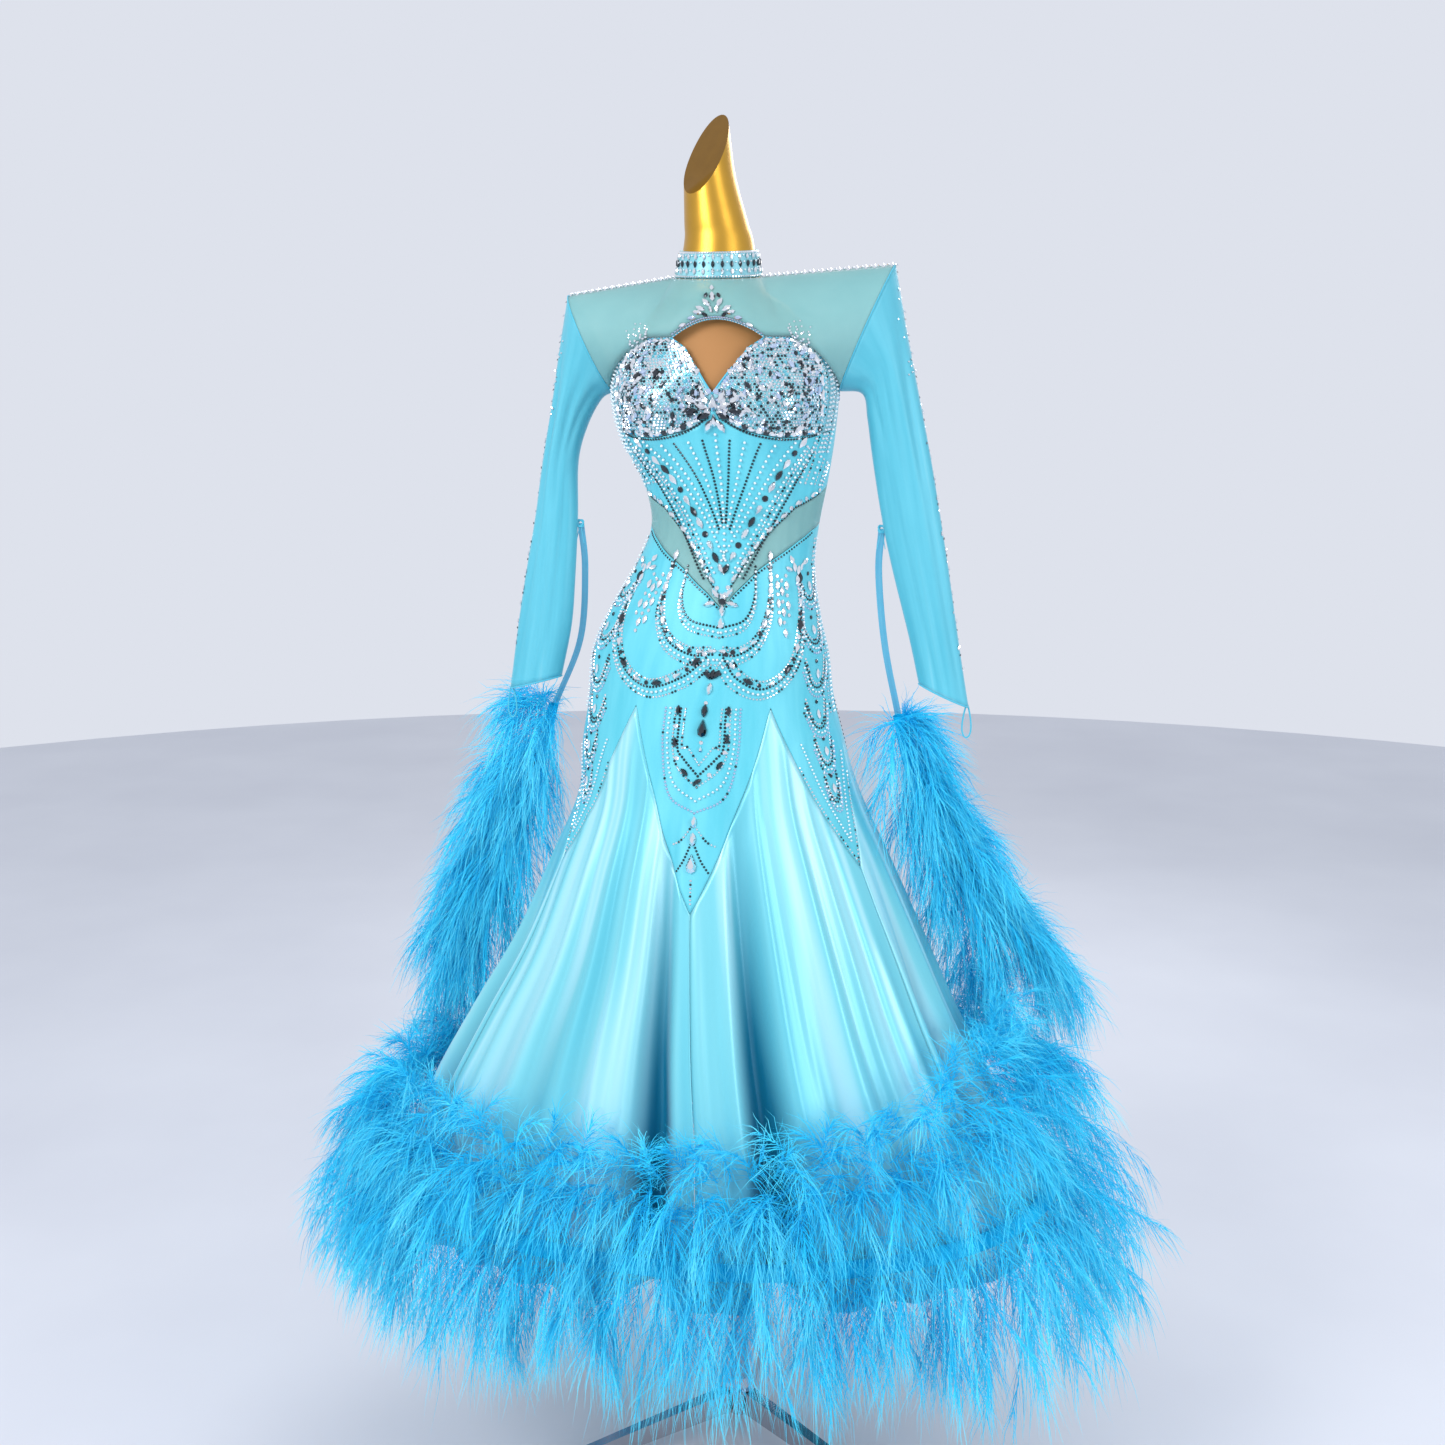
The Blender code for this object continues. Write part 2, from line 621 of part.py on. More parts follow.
def yoke_edges(front, inset):
    """The four edges of the front or back yoke, moved in by inset for the cloth's plain side."""
    facing = 1.0 if front else -1.0
    shoulder_y = -facing * SEAM / 2

    def angle_of(u):
        return -SIDE + 2 * SIDE * u

    def low(u):
        angle = angle_of(u)
        edge = SIDE - 0.12
        angle = max(-edge, min(edge, angle))
        if front:
            z = straight_value(CUP_TOP, angle)
            if abs(angle) < KEYHOLE_ANGLE:
                z = KEYHOLE_Z + KEYHOLE_RISE * (1 - (angle / KEYHOLE_ANGLE) ** 2)
            return shifted(z + EDGE_GAP / 2, angle, -inset)
        turned = 180.0 - angle
        return shifted(straight_value(BACK_TOP, turned) + EDGE_GAP / 2, turned, -inset)

    def high(u):
        angle = angle_of(u)
        side = "left" if angle > 0 else "right"
        sign = math.copysign(1.0, angle)
        if abs(angle) <= COLLAR_SHARE:
            turn = math.radians(angle / COLLAR_SHARE * (SIDE - 0.3))
            turn = turn if front else math.pi - turn
            slope = abs(math.cos(turn))
            z = collar_low(turn) - 2 * SEAM - inset * (1 - 0.3 * slope)
            return collar_point(collar_low(turn), turn, -inset * slope * 0.7) + Vector((0, 0, z - collar_low(turn)))
        share = (abs(angle) - COLLAR_SHARE) / (SIDE - COLLAR_SHARE)
        neck = Vector((COLLAR_X + sign * COLLAR_LOW_RADIUS, 0.0, collar_low(math.pi / 2) - 2 * SEAM))
        point = neck * (1 - share) + SHOULDERS[side] * share
        return point + Vector((0, shoulder_y, -inset))

    def start(v):
        turn = math.acos(1 - 2 * v)
        return armhole("right", turn, facing * ARMHOLE_DEPTH, inset) + Vector((SEAM / 2, shoulder_y, 0))

    def end(v):
        turn = math.acos(1 - 2 * v)
        return armhole("left", turn, facing * ARMHOLE_DEPTH, inset) + Vector((-SEAM / 2, shoulder_y, 0))

    return low, high, start, end


def make_yokes(finish, collection):
    angles = mirrored(UPPER_ANGLES)
    for name, front in (("yoke_front", True), ("yoke_back", False)):
        sides = []
        for inset in (0.0, MESH_CLOTH):
            edges = yoke_edges(front, inset)
            grid = []
            for angle in angles:
                u = (angle + SIDE) / (2 * SIDE)
                grid.append([yoke_point(edges, u, v) for v in YOKE_SHARES])
            sides.append(grid)
        wall(name, sides[0], sides[1], finish, collection)


def sleeve_ring(side, index, inset):
    """One section of a sleeve: the armhole itself, or a flat ellipse between its edge points."""
    ring = []
    sign = -1.0 if side == "right" else 1.0
    low = body_point(ARMPIT_Z, sign * SIDE, False)
    lean = SHOULDERS[side] - low
    out = Vector((sign * lean.z, 0.0, -sign * lean.x)).normalized()
    for k in range(SLEEVE_SIDES):
        turn = 2 * math.pi * k / SLEEVE_SIDES
        if index < 0:
            ring.append(armhole(side, turn, ARMHOLE_DEPTH, inset) + out * 2 * SEAM)
            continue
        outer_x, outer_z, inner_x, inner_z, depth = SLEEVE_SECTIONS[side][index]
        outer, inner = Vector((outer_x, 0, outer_z)), Vector((inner_x, 0, inner_z))
        arm = (outer - inner) / 2
        arm *= 1.0 - inset / arm.length
        offset = Vector((0, (depth - inset) * math.sin(turn), 0))
        ring.append((outer + inner) / 2 - arm * math.cos(turn) - offset)
    return ring


def make_sleeve(side, finish, collection):
    count = len(SLEEVE_SECTIONS[side])
    outer = [sleeve_ring(side, k, 0.0) for k in range(-1, count)]
    inner = [sleeve_ring(side, k, MESH_CLOTH) for k in range(-1, count)]
    outer = [list(line) for line in zip(*outer)]
    inner = [list(line) for line in zip(*inner)]
    return wall(f"sleeve_{side}", outer, inner, finish, collection, ring=True)


def make_loop(side, sleeve, collection):
    """The finger loop, a teardrop of cord, joined to the cuff's point."""
    outer_x, outer_z, _, _, _ = SLEEVE_SECTIONS[side][-1]
    sign = -1.0 if side == "right" else 1.0
    top = Vector((outer_x - sign * 0.002, 0.0, outer_z + 0.003))
    curve = bpy.data.curves.new(f"loop_{side}", "CURVE")
    curve.dimensions = "3D"
    curve.bevel_depth = LOOP_CORD / 2
    curve.bevel_resolution = 1
    curve.resolution_u = 1
    count = 12
    spline = curve.splines.new("POLY")
    spline.points.add(count - 1)
    spline.use_cyclic_u = True
    for k in range(count):
        turn = 2 * math.pi * k / count
        down = (1 - math.cos(turn)) / 2
        width = LOOP_WIDTH / 2 * math.sin(turn) * (0.35 + 0.65 * down)
        point = top + Vector((width, 0.0, -LOOP_LENGTH * down))
        spline.points[k].co = (*point, 1.0)
    ring = bpy.data.objects.new(f"loop_{side}", curve)
    collection.objects.link(ring)
    bpy.context.view_layer.update()
    evaluated = ring.evaluated_get(bpy.context.evaluated_depsgraph_get())
    mesh = bpy.data.meshes.new_from_object(evaluated)
    bpy.data.objects.remove(ring, do_unlink=True)
    solid = bpy.data.objects.new(f"loop_{side}_mesh", mesh)
    solid.hide_render = True
    solid.display_type = "WIRE"
    collection.objects.link(solid)
    joined = sleeve.modifiers.new("Loop", "BOOLEAN")
    joined.operation = "UNION"
    joined.solver = "EXACT"
    joined.object = solid


def route_point(route, share):
    """A smooth curve through hand-chosen points, at a share of its length from 0 to 1."""
    rows = [(k / (len(route) - 1), *point) for k, point in enumerate(route)]
    return Vector([smooth_value(rows, c, share) for c in (1, 2, 3)])


def boa_frames(points, closed, out_of):
    """For each point of a boa's cord: the point, the direction along, out and up round the cord."""
    frames = []
    count = len(points)
    for i, point in enumerate(points):
        before = points[(i - 1) % count] if closed or i else point
        after = points[(i + 1) % count] if closed or i < count - 1 else point
        along = (after - before).normalized()
        out = out_of(i)
        out = (out - along * out.dot(along)).normalized()
        frames.append((point, along, out, out.cross(along)))
    return frames


def make_boa(name, frames, closed, radius, rows, lock_width, finish, collection, spread=lambda i: 1.0):
    """A cord whose side faces rise into separate feather locks.

    rows gives each row's side of the cord, direction, length and droop. spread lengthens the locks from place to place.
    """
    chance = random.Random(LOCK_SEED)
    sides = TUBE_SIDES
    count = len(frames)
    points, faces = [], []
    for point, _, out, up in frames:
        for k in range(sides):
            turn = 2 * math.pi * (k + 0.5) / sides + math.pi / 6
            points.append(point + (out * math.cos(turn) + up * math.sin(turn)) * radius)
    segments = count if closed else count - 1
    grown = {}
    for row, (side, angle, length, droop) in enumerate(rows):
        for i in range(row % 2, segments, 2):
            grown[(i, side)] = (angle, length, droop)
    for i in range(segments):
        n = (i + 1) % count
        for k in range(sides):
            m = (k + 1) % sides
            base = (i * sides + k, n * sides + k, n * sides + m, i * sides + m)
            if (i, k) not in grown:
                faces.append(base)
                continue
            angle, length, droop = grown[(i, k)]
            frame, following = frames[i], frames[n]
            along = (frame[1] + following[1]).normalized()
            out = (frame[2] + following[2]).normalized()
            up = (frame[3] + following[3]).normalized()
            lean = math.radians(angle + chance.uniform(-6, 6))
            way = (out * math.cos(lean) + up * math.sin(lean) + along * chance.uniform(-0.06, 0.06)).normalized()
            side_way = along
            flat_way = way.cross(side_way).normalized()
            reach = length * chance.uniform(0.90, 1.0) * spread(i)
            sag = Vector((0.0, 0.0, -droop * reach))
            centre = sum((points[b] for b in base), Vector()) / 4
            ring = list(base)
            for share, width in ((0.30, 0.80), (0.68, 1.0)):
                middle = centre + way * reach * share + sag * share**2
                wide = side_way * lock_width / 2 * width
                thick = flat_way * LOCK_THICKNESS / 2 * width
                fresh = []
                for s_along, s_flat in ((-1, -1), (1, -1), (1, 1), (-1, 1)):
                    fresh.append(len(points))
                    points.append(middle + wide * s_along + thick * s_flat)
                start = min(range(4), key=lambda s: sum(
                    (points[ring[q]] - points[fresh[(q + s) % 4]]).length for q in range(4)))
                fresh = [fresh[(q + start) % 4] for q in range(4)]
                for q in range(4):
                    r = (q + 1) % 4
                    faces.append((ring[q], ring[r], fresh[r], fresh[q]))
                ring = fresh
            tip = len(points)
            points.append(centre + way * reach + sag)
            for q in range(4):
                faces.append((ring[q], ring[(q + 1) % 4], tip))
    if not closed:
        faces.append(tuple(range(sides)))
        faces.append(tuple(range((count - 1) * sides, count * sides)))
    return add_object(name, mesh_from(name, points, faces), finish, collection)


def make_hem_boa(finish, collection):
    count = 2 * HEM_COLUMNS
    points, outs = [], []
    for i in range(count):
        angle = -180.0 + 360.0 * i / count
        here = body_point(HEM_TUBE_Z, angle, False)
        above = body_point(HEM_TUBE_Z + 0.01, angle, False)
        beside = body_point(HEM_TUBE_Z, angle + 0.5, False)
        normal = (beside - here).cross(above - here).normalized()
        points.append(here + normal * (HEM_TUBE + 2 * SEAM))
        outs.append(Vector((normal.x, normal.y, 0.0)).normalized())
    frames = boa_frames(points, True, lambda i: outs[i])
    rows = boa_rows(frames, HEM_ROWS)

    def spread(i):
        return 1 + HEM_LEFT_SPREAD * max(0.0, math.sin(2 * math.pi * i / count - math.pi)) ** 2

    make_boa("hem_boa", frames, True, HEM_TUBE, rows, HEM_LOCK_WIDTH, finish, collection, spread)


def boa_rows(frames, table, facing=2, positive=1.0):
    """Each row of locks grows from the side of the cord that faces its direction best."""
    up = frames[0][3]
    sign = positive if up[facing] > 0 else -positive
    rows = []
    for direction, length, droop in table:
        angle = direction * sign
        side = max(range(TUBE_SIDES), key=lambda k: math.cos(math.radians(angle) - side_turn(k)))
        rows.append((side, angle, length, droop))
    return rows


def side_turn(k):
    return 2 * math.pi * (k + 1) / TUBE_SIDES + math.pi / 6


def make_floats(boa_finish, cloth_finish, collection):
    for side in ("right", "left"):
        sign = -1.0 if side == "right" else 1.0
        route = FLOAT_ROUTES[side]
        count = 2 * FLOAT_COLUMNS + 1
        points = [route_point(route, k / (count - 1)) for k in range(count)]
        out = Vector((sign, 0.0, 0.0))
        frames = boa_frames(points, False, lambda i, out=out: out)
        rows = boa_rows(frames, FLOAT_ROWS, facing=1, positive=-1.0)
        make_boa(f"float_boa_{side}", frames, False, FLOAT_TUBE, rows, FLOAT_LOCK_WIDTH, boa_finish, collection)
        make_float_cloth(side, sign, points, cloth_finish, collection)


def make_float_cloth(side, sign, cord, finish, collection):
    """The tie from the elbow, widening into the chiffon that hangs behind the boa."""
    behind = Vector((0.0, FLOAT_SEAT, 0.0))
    start = cord[0] + behind
    tie = TIE_ROUTES[side] + (tuple(start),)
    lines = [(route_point(tie, k / TIE_ROWS), TIE_WIDTH) for k in range(TIE_ROWS)]
    for k, point in enumerate(cord[::3]):
        share = k / (len(cord[::3]) - 1)
        lines.append((point + behind, TIE_WIDTH + (FLOAT_WIDTH - TIE_WIDTH) * min(1.0, 1.6 * share)))
    outer, inner = [], []
    for middle, width in lines:
        left = middle + Vector((-sign * TIE_WIDTH / 2, 0.0, 0.0))
        right = left + Vector((sign * width, 0.012 * width / FLOAT_WIDTH, 0.0))
        centre = (left + right) / 2 + Vector((0, 0.006 * width / FLOAT_WIDTH, 0))
        outer.append([left, centre, right])
        inner.append([p + Vector((0, MESH_CLOTH, 0)) for p in (left, centre, right)])
    wall(f"float_{side}", outer, inner, finish, collection)


def build():
    clear_scene()
    gown = bpy.data.collections.new("ballroom_gown_on_dress_form")
    cutters = bpy.data.collections.new("cutters")
    for group in (gown, cutters):
        bpy.context.scene.collection.children.link(group)
    gold = material("gold_paint", GOLD, 0.28, 0.85)
    chrome = material("chrome", CHROME, 0.12, 1.0)
    satin = material("satin", GOWN_BLUE, 0.35)
    stones = material("stones", STONE_GREY, 0.15)
    teal_mesh = material("teal_mesh", MESH_TEAL, 0.6)
    blue_mesh = material("blue_mesh", MESH_BLUE, 0.6)
    feathers = material("feathers", FEATHER_BLUE, 0.8)
    make_form(gold, gown)
    make_stand(chrome, gown)
    make_collar(stones, gown)
    make_cups(stones, gown)
    make_bodice(satin, gown)
    make_insets(teal_mesh, gown)
    make_hip_yokes(satin, gown)
    make_godets(satin, gown)
    make_underskirt(blue_mesh, gown)
    make_yokes(teal_mesh, gown)
    for side in ("right", "left"):
        sleeve = make_sleeve(side, blue_mesh, gown)
        make_loop(side, sleeve, cutters)
    make_floats(feathers, blue_mesh, gown)
    make_hem_boa(feathers, gown)


build()
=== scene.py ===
"""The looks of the ballroom gown on its dress form: cloth, stones, feathers, form, stand and studio."""

import math

import bmesh
import bpy
import numpy as np
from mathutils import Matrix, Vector


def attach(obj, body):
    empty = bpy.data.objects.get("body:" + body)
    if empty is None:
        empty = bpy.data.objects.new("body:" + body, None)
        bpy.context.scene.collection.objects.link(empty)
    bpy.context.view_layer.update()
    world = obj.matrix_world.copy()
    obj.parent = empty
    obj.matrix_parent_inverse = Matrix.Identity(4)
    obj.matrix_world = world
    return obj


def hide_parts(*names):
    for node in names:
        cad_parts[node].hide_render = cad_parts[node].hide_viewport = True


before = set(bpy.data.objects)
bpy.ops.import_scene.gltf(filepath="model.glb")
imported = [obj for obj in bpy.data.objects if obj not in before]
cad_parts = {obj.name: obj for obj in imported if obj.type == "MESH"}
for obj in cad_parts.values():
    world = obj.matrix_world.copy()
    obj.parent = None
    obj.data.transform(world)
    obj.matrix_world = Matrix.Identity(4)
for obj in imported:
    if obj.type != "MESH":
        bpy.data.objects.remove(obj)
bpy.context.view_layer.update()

SEAM = 0.0003
EDGE_GAP = 0.0010
SHELL = 0.0011
CHIFFON_SHELL = 0.0009
HEM_Z = 0.385
UNDERSKIRT_HEM_Z = 0.372
UNDERSKIRT_TOP_Z = 0.460
WAIST_Z = 1.325
ARMPIT_Z = 1.494
SIDE = 90.0

# The gown's outer surface: half widths are taken from the centre line, which the hip's tilt moves sideways.
BODY_RINGS = (
    # z, centre_x, left, right, front, back
    (0.370, -0.020, 0.487, 0.471, 0.322, 0.340),
    (0.400, -0.020, 0.475, 0.455, 0.312, 0.330),
    (0.546, -0.022, 0.412, 0.378, 0.272, 0.286),
    (0.664, -0.032, 0.335, 0.327, 0.236, 0.248),
    (0.766, -0.038, 0.268, 0.287, 0.205, 0.215),
    (0.880, -0.042, 0.213, 0.240, 0.172, 0.182),
    (0.965, -0.041, 0.180, 0.201, 0.147, 0.155),
    (1.037, -0.036, 0.179, 0.175, 0.131, 0.136),
    (1.096, -0.031, 0.174, 0.155, 0.121, 0.124),
    (1.154, -0.019, 0.180, 0.136, 0.113, 0.116),
    (1.201, -0.013, 0.167, 0.119, 0.105, 0.104),
    (1.269, -0.011, 0.129, 0.108, 0.092, 0.082),
    (1.322, -0.011, 0.108, 0.113, 0.086, 0.074),
    (1.380, -0.014, 0.116, 0.127, 0.092, 0.078),
    (1.432, -0.019, 0.138, 0.140, 0.103, 0.084),
    (1.494, -0.022, 0.147, 0.148, 0.113, 0.088),
    (1.560, -0.018, 0.140, 0.140, 0.101, 0.084),
    (1.600, -0.024, 0.118, 0.118, 0.082, 0.076),
)
BUST_RISE = 0.020
BUST_ANGLE = 34.0
BUST_SPREAD = 19.0
BUST_Z = 1.475
BUST_HEIGHT = 0.042

# Valleys of the skirt. A valley deepens from its start down to the hem.
FOLDS = (
    # centre_angle, half_width, depth, start_z
    (-163.0, 7.0, 0.050, 0.93),
    (-137.0, 7.0, 0.055, 0.93),
    (-104.0, 8.0, 0.058, 0.95),
    (-86.0, 4.5, 0.016, 0.85),
    (-71.0, 6.5, 0.042, 0.90),
    (-47.0, 5.0, 0.016, 0.85),
    (-35.0, 5.0, 0.018, 0.90),
    (-24.5, 4.0, 0.012, 0.85),
    (-8.5, 5.5, 0.072, 0.98),
    (15.5, 6.5, 0.080, 1.00),
    (31.0, 5.0, 0.014, 0.85),
    (44.0, 5.0, 0.012, 0.80),
    (70.0, 6.5, 0.040, 0.90),
    (88.0, 5.0, 0.018, 0.85),
    (106.0, 8.0, 0.055, 0.95),
    (136.0, 7.0, 0.058, 0.93),
    (161.0, 7.0, 0.054, 0.93),
)
# Creases placed on the cloth. A positive depth is a trough, a negative one a ridge.
CREASES = (
    # top_angle, top_z, low_angle, low_z, half_width, depth
    (-58.0, 0.86, -57.0, 0.40, 1.8, 0.0040),
    (-53.5, 0.98, -53.0, 0.42, 1.4, -0.0045),
    (-49.0, 0.90, -50.0, 0.52, 1.0, 0.0022),
    (-42.5, 1.05, -41.0, 0.40, 1.7, -0.0050),
    (-38.5, 0.96, -38.0, 0.47, 1.0, 0.0026),
    (-30.5, 1.05, -28.5, 0.39, 1.6, -0.0045),
    (-27.0, 0.93, -26.0, 0.50, 0.9, 0.0024),
    (-21.5, 1.02, -20.5, 0.40, 1.3, -0.0042),
    (-18.0, 0.93, -17.0, 0.44, 0.9, 0.0022),
    (-13.0, 0.95, -13.7, 0.40, 1.3, -0.0038),
    (-3.5, 0.84, -2.0, 0.41, 1.2, 0.0024),
    (1.5, 0.90, 2.7, 0.39, 1.5, -0.0048),
    (6.0, 0.80, 6.5, 0.43, 1.0, 0.0024),
    (22.0, 1.04, 22.8, 0.40, 1.4, -0.0044),
    (26.0, 0.96, 27.0, 0.50, 0.9, 0.0022),
    (36.5, 1.06, 38.8, 0.40, 1.8, -0.0050),
    (40.0, 0.92, 42.0, 0.46, 0.9, 0.0024),
    (44.5, 1.00, 46.5, 0.42, 1.5, -0.0040),
    (50.0, 0.94, 52.0, 0.40, 1.2, 0.0034),
    (56.0, 0.80, 58.5, 0.43, 1.4, -0.0038),
    (63.0, 0.82, 65.0, 0.41, 1.3, -0.0040),
    (78.0, 0.93, 79.0, 0.40, 1.9, -0.0046),
    (83.0, 0.90, 82.5, 0.55, 1.1, 0.0022),
    (95.0, 1.00, 96.0, 0.41, 1.7, -0.0044),
    (100.0, 0.90, 99.0, 0.52, 1.0, 0.0024),
    (114.0, 0.96, 115.0, 0.40, 2.0, -0.0050),
    (120.0, 0.84, 121.0, 0.47, 1.1, 0.0026),
    (129.0, 0.88, 128.0, 0.40, 1.5, -0.0040),
    (144.0, 1.00, 145.5, 0.41, 1.9, -0.0048),
    (150.5, 1.02, 151.0, 0.50, 1.0, 0.0024),
    (155.0, 0.98, 154.0, 0.40, 1.4, -0.0036),
    (169.0, 0.92, 170.5, 0.40, 1.8, -0.0044),
    (176.0, 0.84, 177.0, 0.52, 1.0, 0.0022),
    (-172.0, 0.88, -171.5, 0.40, 1.8, -0.0046),
    (-155.0, 1.00, -154.0, 0.41, 1.7, -0.0044),
    (-150.0, 1.04, -149.0, 0.55, 1.0, 0.0026),
    (-145.0, 0.96, -145.5, 0.40, 1.5, -0.0040),
    (-129.0, 0.88, -128.0, 0.40, 1.9, -0.0046),
    (-120.0, 0.86, -121.0, 0.50, 1.0, 0.0024),
    (-114.0, 0.97, -113.0, 0.40, 1.7, -0.0044),
    (-96.0, 1.02, -95.5, 0.41, 1.5, -0.0040),
    (-91.0, 1.00, -92.0, 0.52, 1.0, 0.0022),
    (-79.0, 0.94, -79.0, 0.40, 1.8, -0.0046),
    (-64.0, 0.86, -63.0, 0.42, 1.3, -0.0036),
    # soft drag lines of the fitted part
    (-84.0, 1.28, -62.0, 1.20, 3.0, 0.0012),
    (-88.0, 1.23, -66.0, 1.13, 3.5, 0.0010),
    (86.0, 1.29, 64.0, 1.24, 3.0, 0.0010),
    (104.0, 1.30, 132.0, 1.24, 3.5, 0.0014),
    (100.0, 1.37, 128.0, 1.33, 3.0, 0.0012),
    (-102.0, 1.31, -130.0, 1.26, 3.5, 0.0014),
    (-100.0, 1.38, -126.0, 1.34, 3.0, 0.0012),
    (158.0, 1.24, 170.0, 1.12, 3.0, 0.0012),
    (-160.0, 1.26, -169.0, 1.10, 3.0, 0.0012),
)

# Seams across the body, as heights by angle from centre front, the same on both sides.
CUP_TOP = ((0, 1.490), (8, 1.520), (16, 1.546), (24, 1.558),
           (40, 1.558), (55, 1.541), (71, 1.518), (90, 1.494))
CUP_LOW = ((0, 1.472), (8, 1.450), (16, 1.443), (32, 1.435), (62, 1.440), (90, 1.450))
CORSET_EDGE = ((0, 1.232), (16, 1.283), (32, 1.320), (48, 1.347), (71, 1.363), (90, 1.375))
HIP_TOP = ((0, 1.222), (8, 1.242), (24, 1.271), (32, 1.281), (55, 1.305), (71, 1.318), (90, 1.325))
BACK_TOP = ((90, 1.494), (109, 1.488), (125, 1.476), (148, 1.461), (180, 1.452))
HIP_POINTS = ((0, 0.843), (32, 1.097), (62, 0.885), (90, 1.085), (123, 0.865), (150, 1.085), (180, 0.845))
GODET_SEAMS = (-180.0, -123.0, -62.0, 0.0, 62.0, 123.0, 180.0)
GODET_NAMES = ("godet_back_right", "godet_side_right", "godet_front_right",
               "godet_front_left", "godet_side_left", "godet_back_left")
KEYHOLE_ANGLE = 24.0
KEYHOLE_Z = 1.558
KEYHOLE_RISE = 0.022

COLLAR_X = -0.030
COLLAR_LOW_Z = 1.631
COLLAR_TOP_Z = 1.664
COLLAR_LOW_RADIUS = 0.056
COLLAR_TOP_RADIUS = 0.050
COLLAR_BACK_RISE = 0.014

SHOULDERS = {"right": np.array((-0.226, 0.0, 1.617)), "left": np.array((0.195, 0.0, 1.650))}
ARMHOLE_DEPTH = 0.050
COLLAR_SHARE = 40.0
YOKE_SWELL = 0.34

SLEEVE_SECTIONS = {
    "right": (
        # outer_x, outer_z, inner_x, inner_z, half_depth
        (-0.241, 1.542, -0.186, 1.484, 0.034),
        (-0.251, 1.483, -0.205, 1.450, 0.026),
        (-0.266, 1.404, -0.218, 1.404, 0.021),
        (-0.278, 1.330, -0.220, 1.330, 0.019),
        (-0.292, 1.258, -0.225, 1.250, 0.018),
        (-0.304, 1.190, -0.231, 1.186, 0.018),
        (-0.318, 1.098, -0.246, 1.116, 0.018),
    ),
    "left": (
        (0.212, 1.565, 0.156, 1.490, 0.034),
        (0.227, 1.495, 0.163, 1.458, 0.026),
        (0.245, 1.410, 0.170, 1.410, 0.021),
        (0.259, 1.335, 0.183, 1.335, 0.019),
        (0.271, 1.268, 0.198, 1.268, 0.018),
        (0.288, 1.165, 0.222, 1.177, 0.018),
        (0.302, 1.086, 0.236, 1.116, 0.018),
    ),
}
# Creases of a sleeve, as turns round it (0 is its inner edge, 90 its front) and shares of its length.
SLEEVE_CREASES = (
    # top_turn, top_share, low_turn, low_share, half_width, depth
    (35.0, 0.05, 62.0, 0.42, 9.0, 0.0030),
    (75.0, 0.02, 88.0, 0.55, 8.0, 0.0036),
    (105.0, 0.10, 118.0, 0.70, 9.0, -0.0028),
    (140.0, 0.05, 128.0, 0.50, 10.0, 0.0030),
    (60.0, 0.45, 72.0, 0.98, 9.0, 0.0026),
    (100.0, 0.60, 96.0, 0.99, 8.0, 0.0030),
    (132.0, 0.55, 140.0, 0.96, 9.0, 0.0024),
    (215.0, 0.05, 240.0, 0.50, 10.0, 0.0032),
    (255.0, 0.08, 262.0, 0.75, 9.0, -0.0030),
    (290.0, 0.02, 278.0, 0.48, 9.0, 0.0034),
    (310.0, 0.30, 296.0, 0.92, 10.0, 0.0026),
    (232.0, 0.52, 226.0, 0.98, 9.0, 0.0026),
)
LOOP_LENGTH = 0.044
LOOP_WIDTH = 0.016
LOOP_CORD = 0.0022

FLOAT_ROUTES = {
    "right": (
        (-0.272, 0.056, 1.066), (-0.292, 0.066, 0.995), (-0.320, 0.084, 0.915),
        (-0.354, 0.104, 0.830), (-0.392, 0.126, 0.745), (-0.430, 0.148, 0.672),
    ),
    "left": (
        (0.208, 0.056, 1.062), (0.224, 0.066, 0.990), (0.250, 0.086, 0.910),
        (0.288, 0.108, 0.825), (0.342, 0.134, 0.750), (0.408, 0.154, 0.692),
    ),
}
TIE_ROUTES = {
    "right": ((-0.2172, 0.004, 1.322), (-0.217, 0.024, 1.258), (-0.230, 0.044, 1.160)),
    "left": ((0.1838, 0.004, 1.318), (0.180, 0.024, 1.258), (0.189, 0.044, 1.160)),
}
FLOAT_TUBE = 0.009
FLOAT_SEAT = 0.0086
TIE_WIDTH = 0.009
FLOAT_WIDTH = 0.085

HEM_TUBE = 0.012
HEM_TUBE_Z = 0.430
HEM_ROW_SPAN = 0.096
# how much longer, and higher, the plumes are at the wearer's left
HEM_LEFT_SPREAD = 0.36
HEM_LEFT_RISE = 0.085
# how long the level plumes are at the front and back, as a share of those at the sides
HEM_FRONT_SHARE = 0.73


def rgb(red, green, blue):
    """Linear colour from a 0 to 255 sRGB one."""
    parts = [value / 255.0 for value in (red, green, blue)]
    return tuple(p / 12.92 if p <= 0.04045 else ((p + 0.055) / 1.055) ** 2.4 for p in parts) + (1.0,)


def curve(table, column, where):
    """A smooth curve through one column of a table whose first column rises, at an array of places."""
    keys = np.array([row[0] for row in table], float)
    values = np.array([row[column] for row in table], float)
    slopes = np.empty_like(values)
    slopes[1:-1] = (values[2:] - values[:-2]) / (keys[2:] - keys[:-2])
    slopes[0] = (values[1] - values[0]) / (keys[1] - keys[0])
    slopes[-1] = (values[-1] - values[-2]) / (keys[-1] - keys[-2])
    where = np.asarray(where, float)
    k = np.clip(np.searchsorted(keys, where, side="right") - 1, 0, len(keys) - 2)
    span = keys[k + 1] - keys[k]
    t = (where - keys[k]) / span
    return ((2 * t**3 - 3 * t**2 + 1) * values[k] + (t**3 - 2 * t**2 + t) * slopes[k] * span
            + (3 * t**2 - 2 * t**3) * values[k + 1] + (t**3 - t**2) * slopes[k + 1] * span)


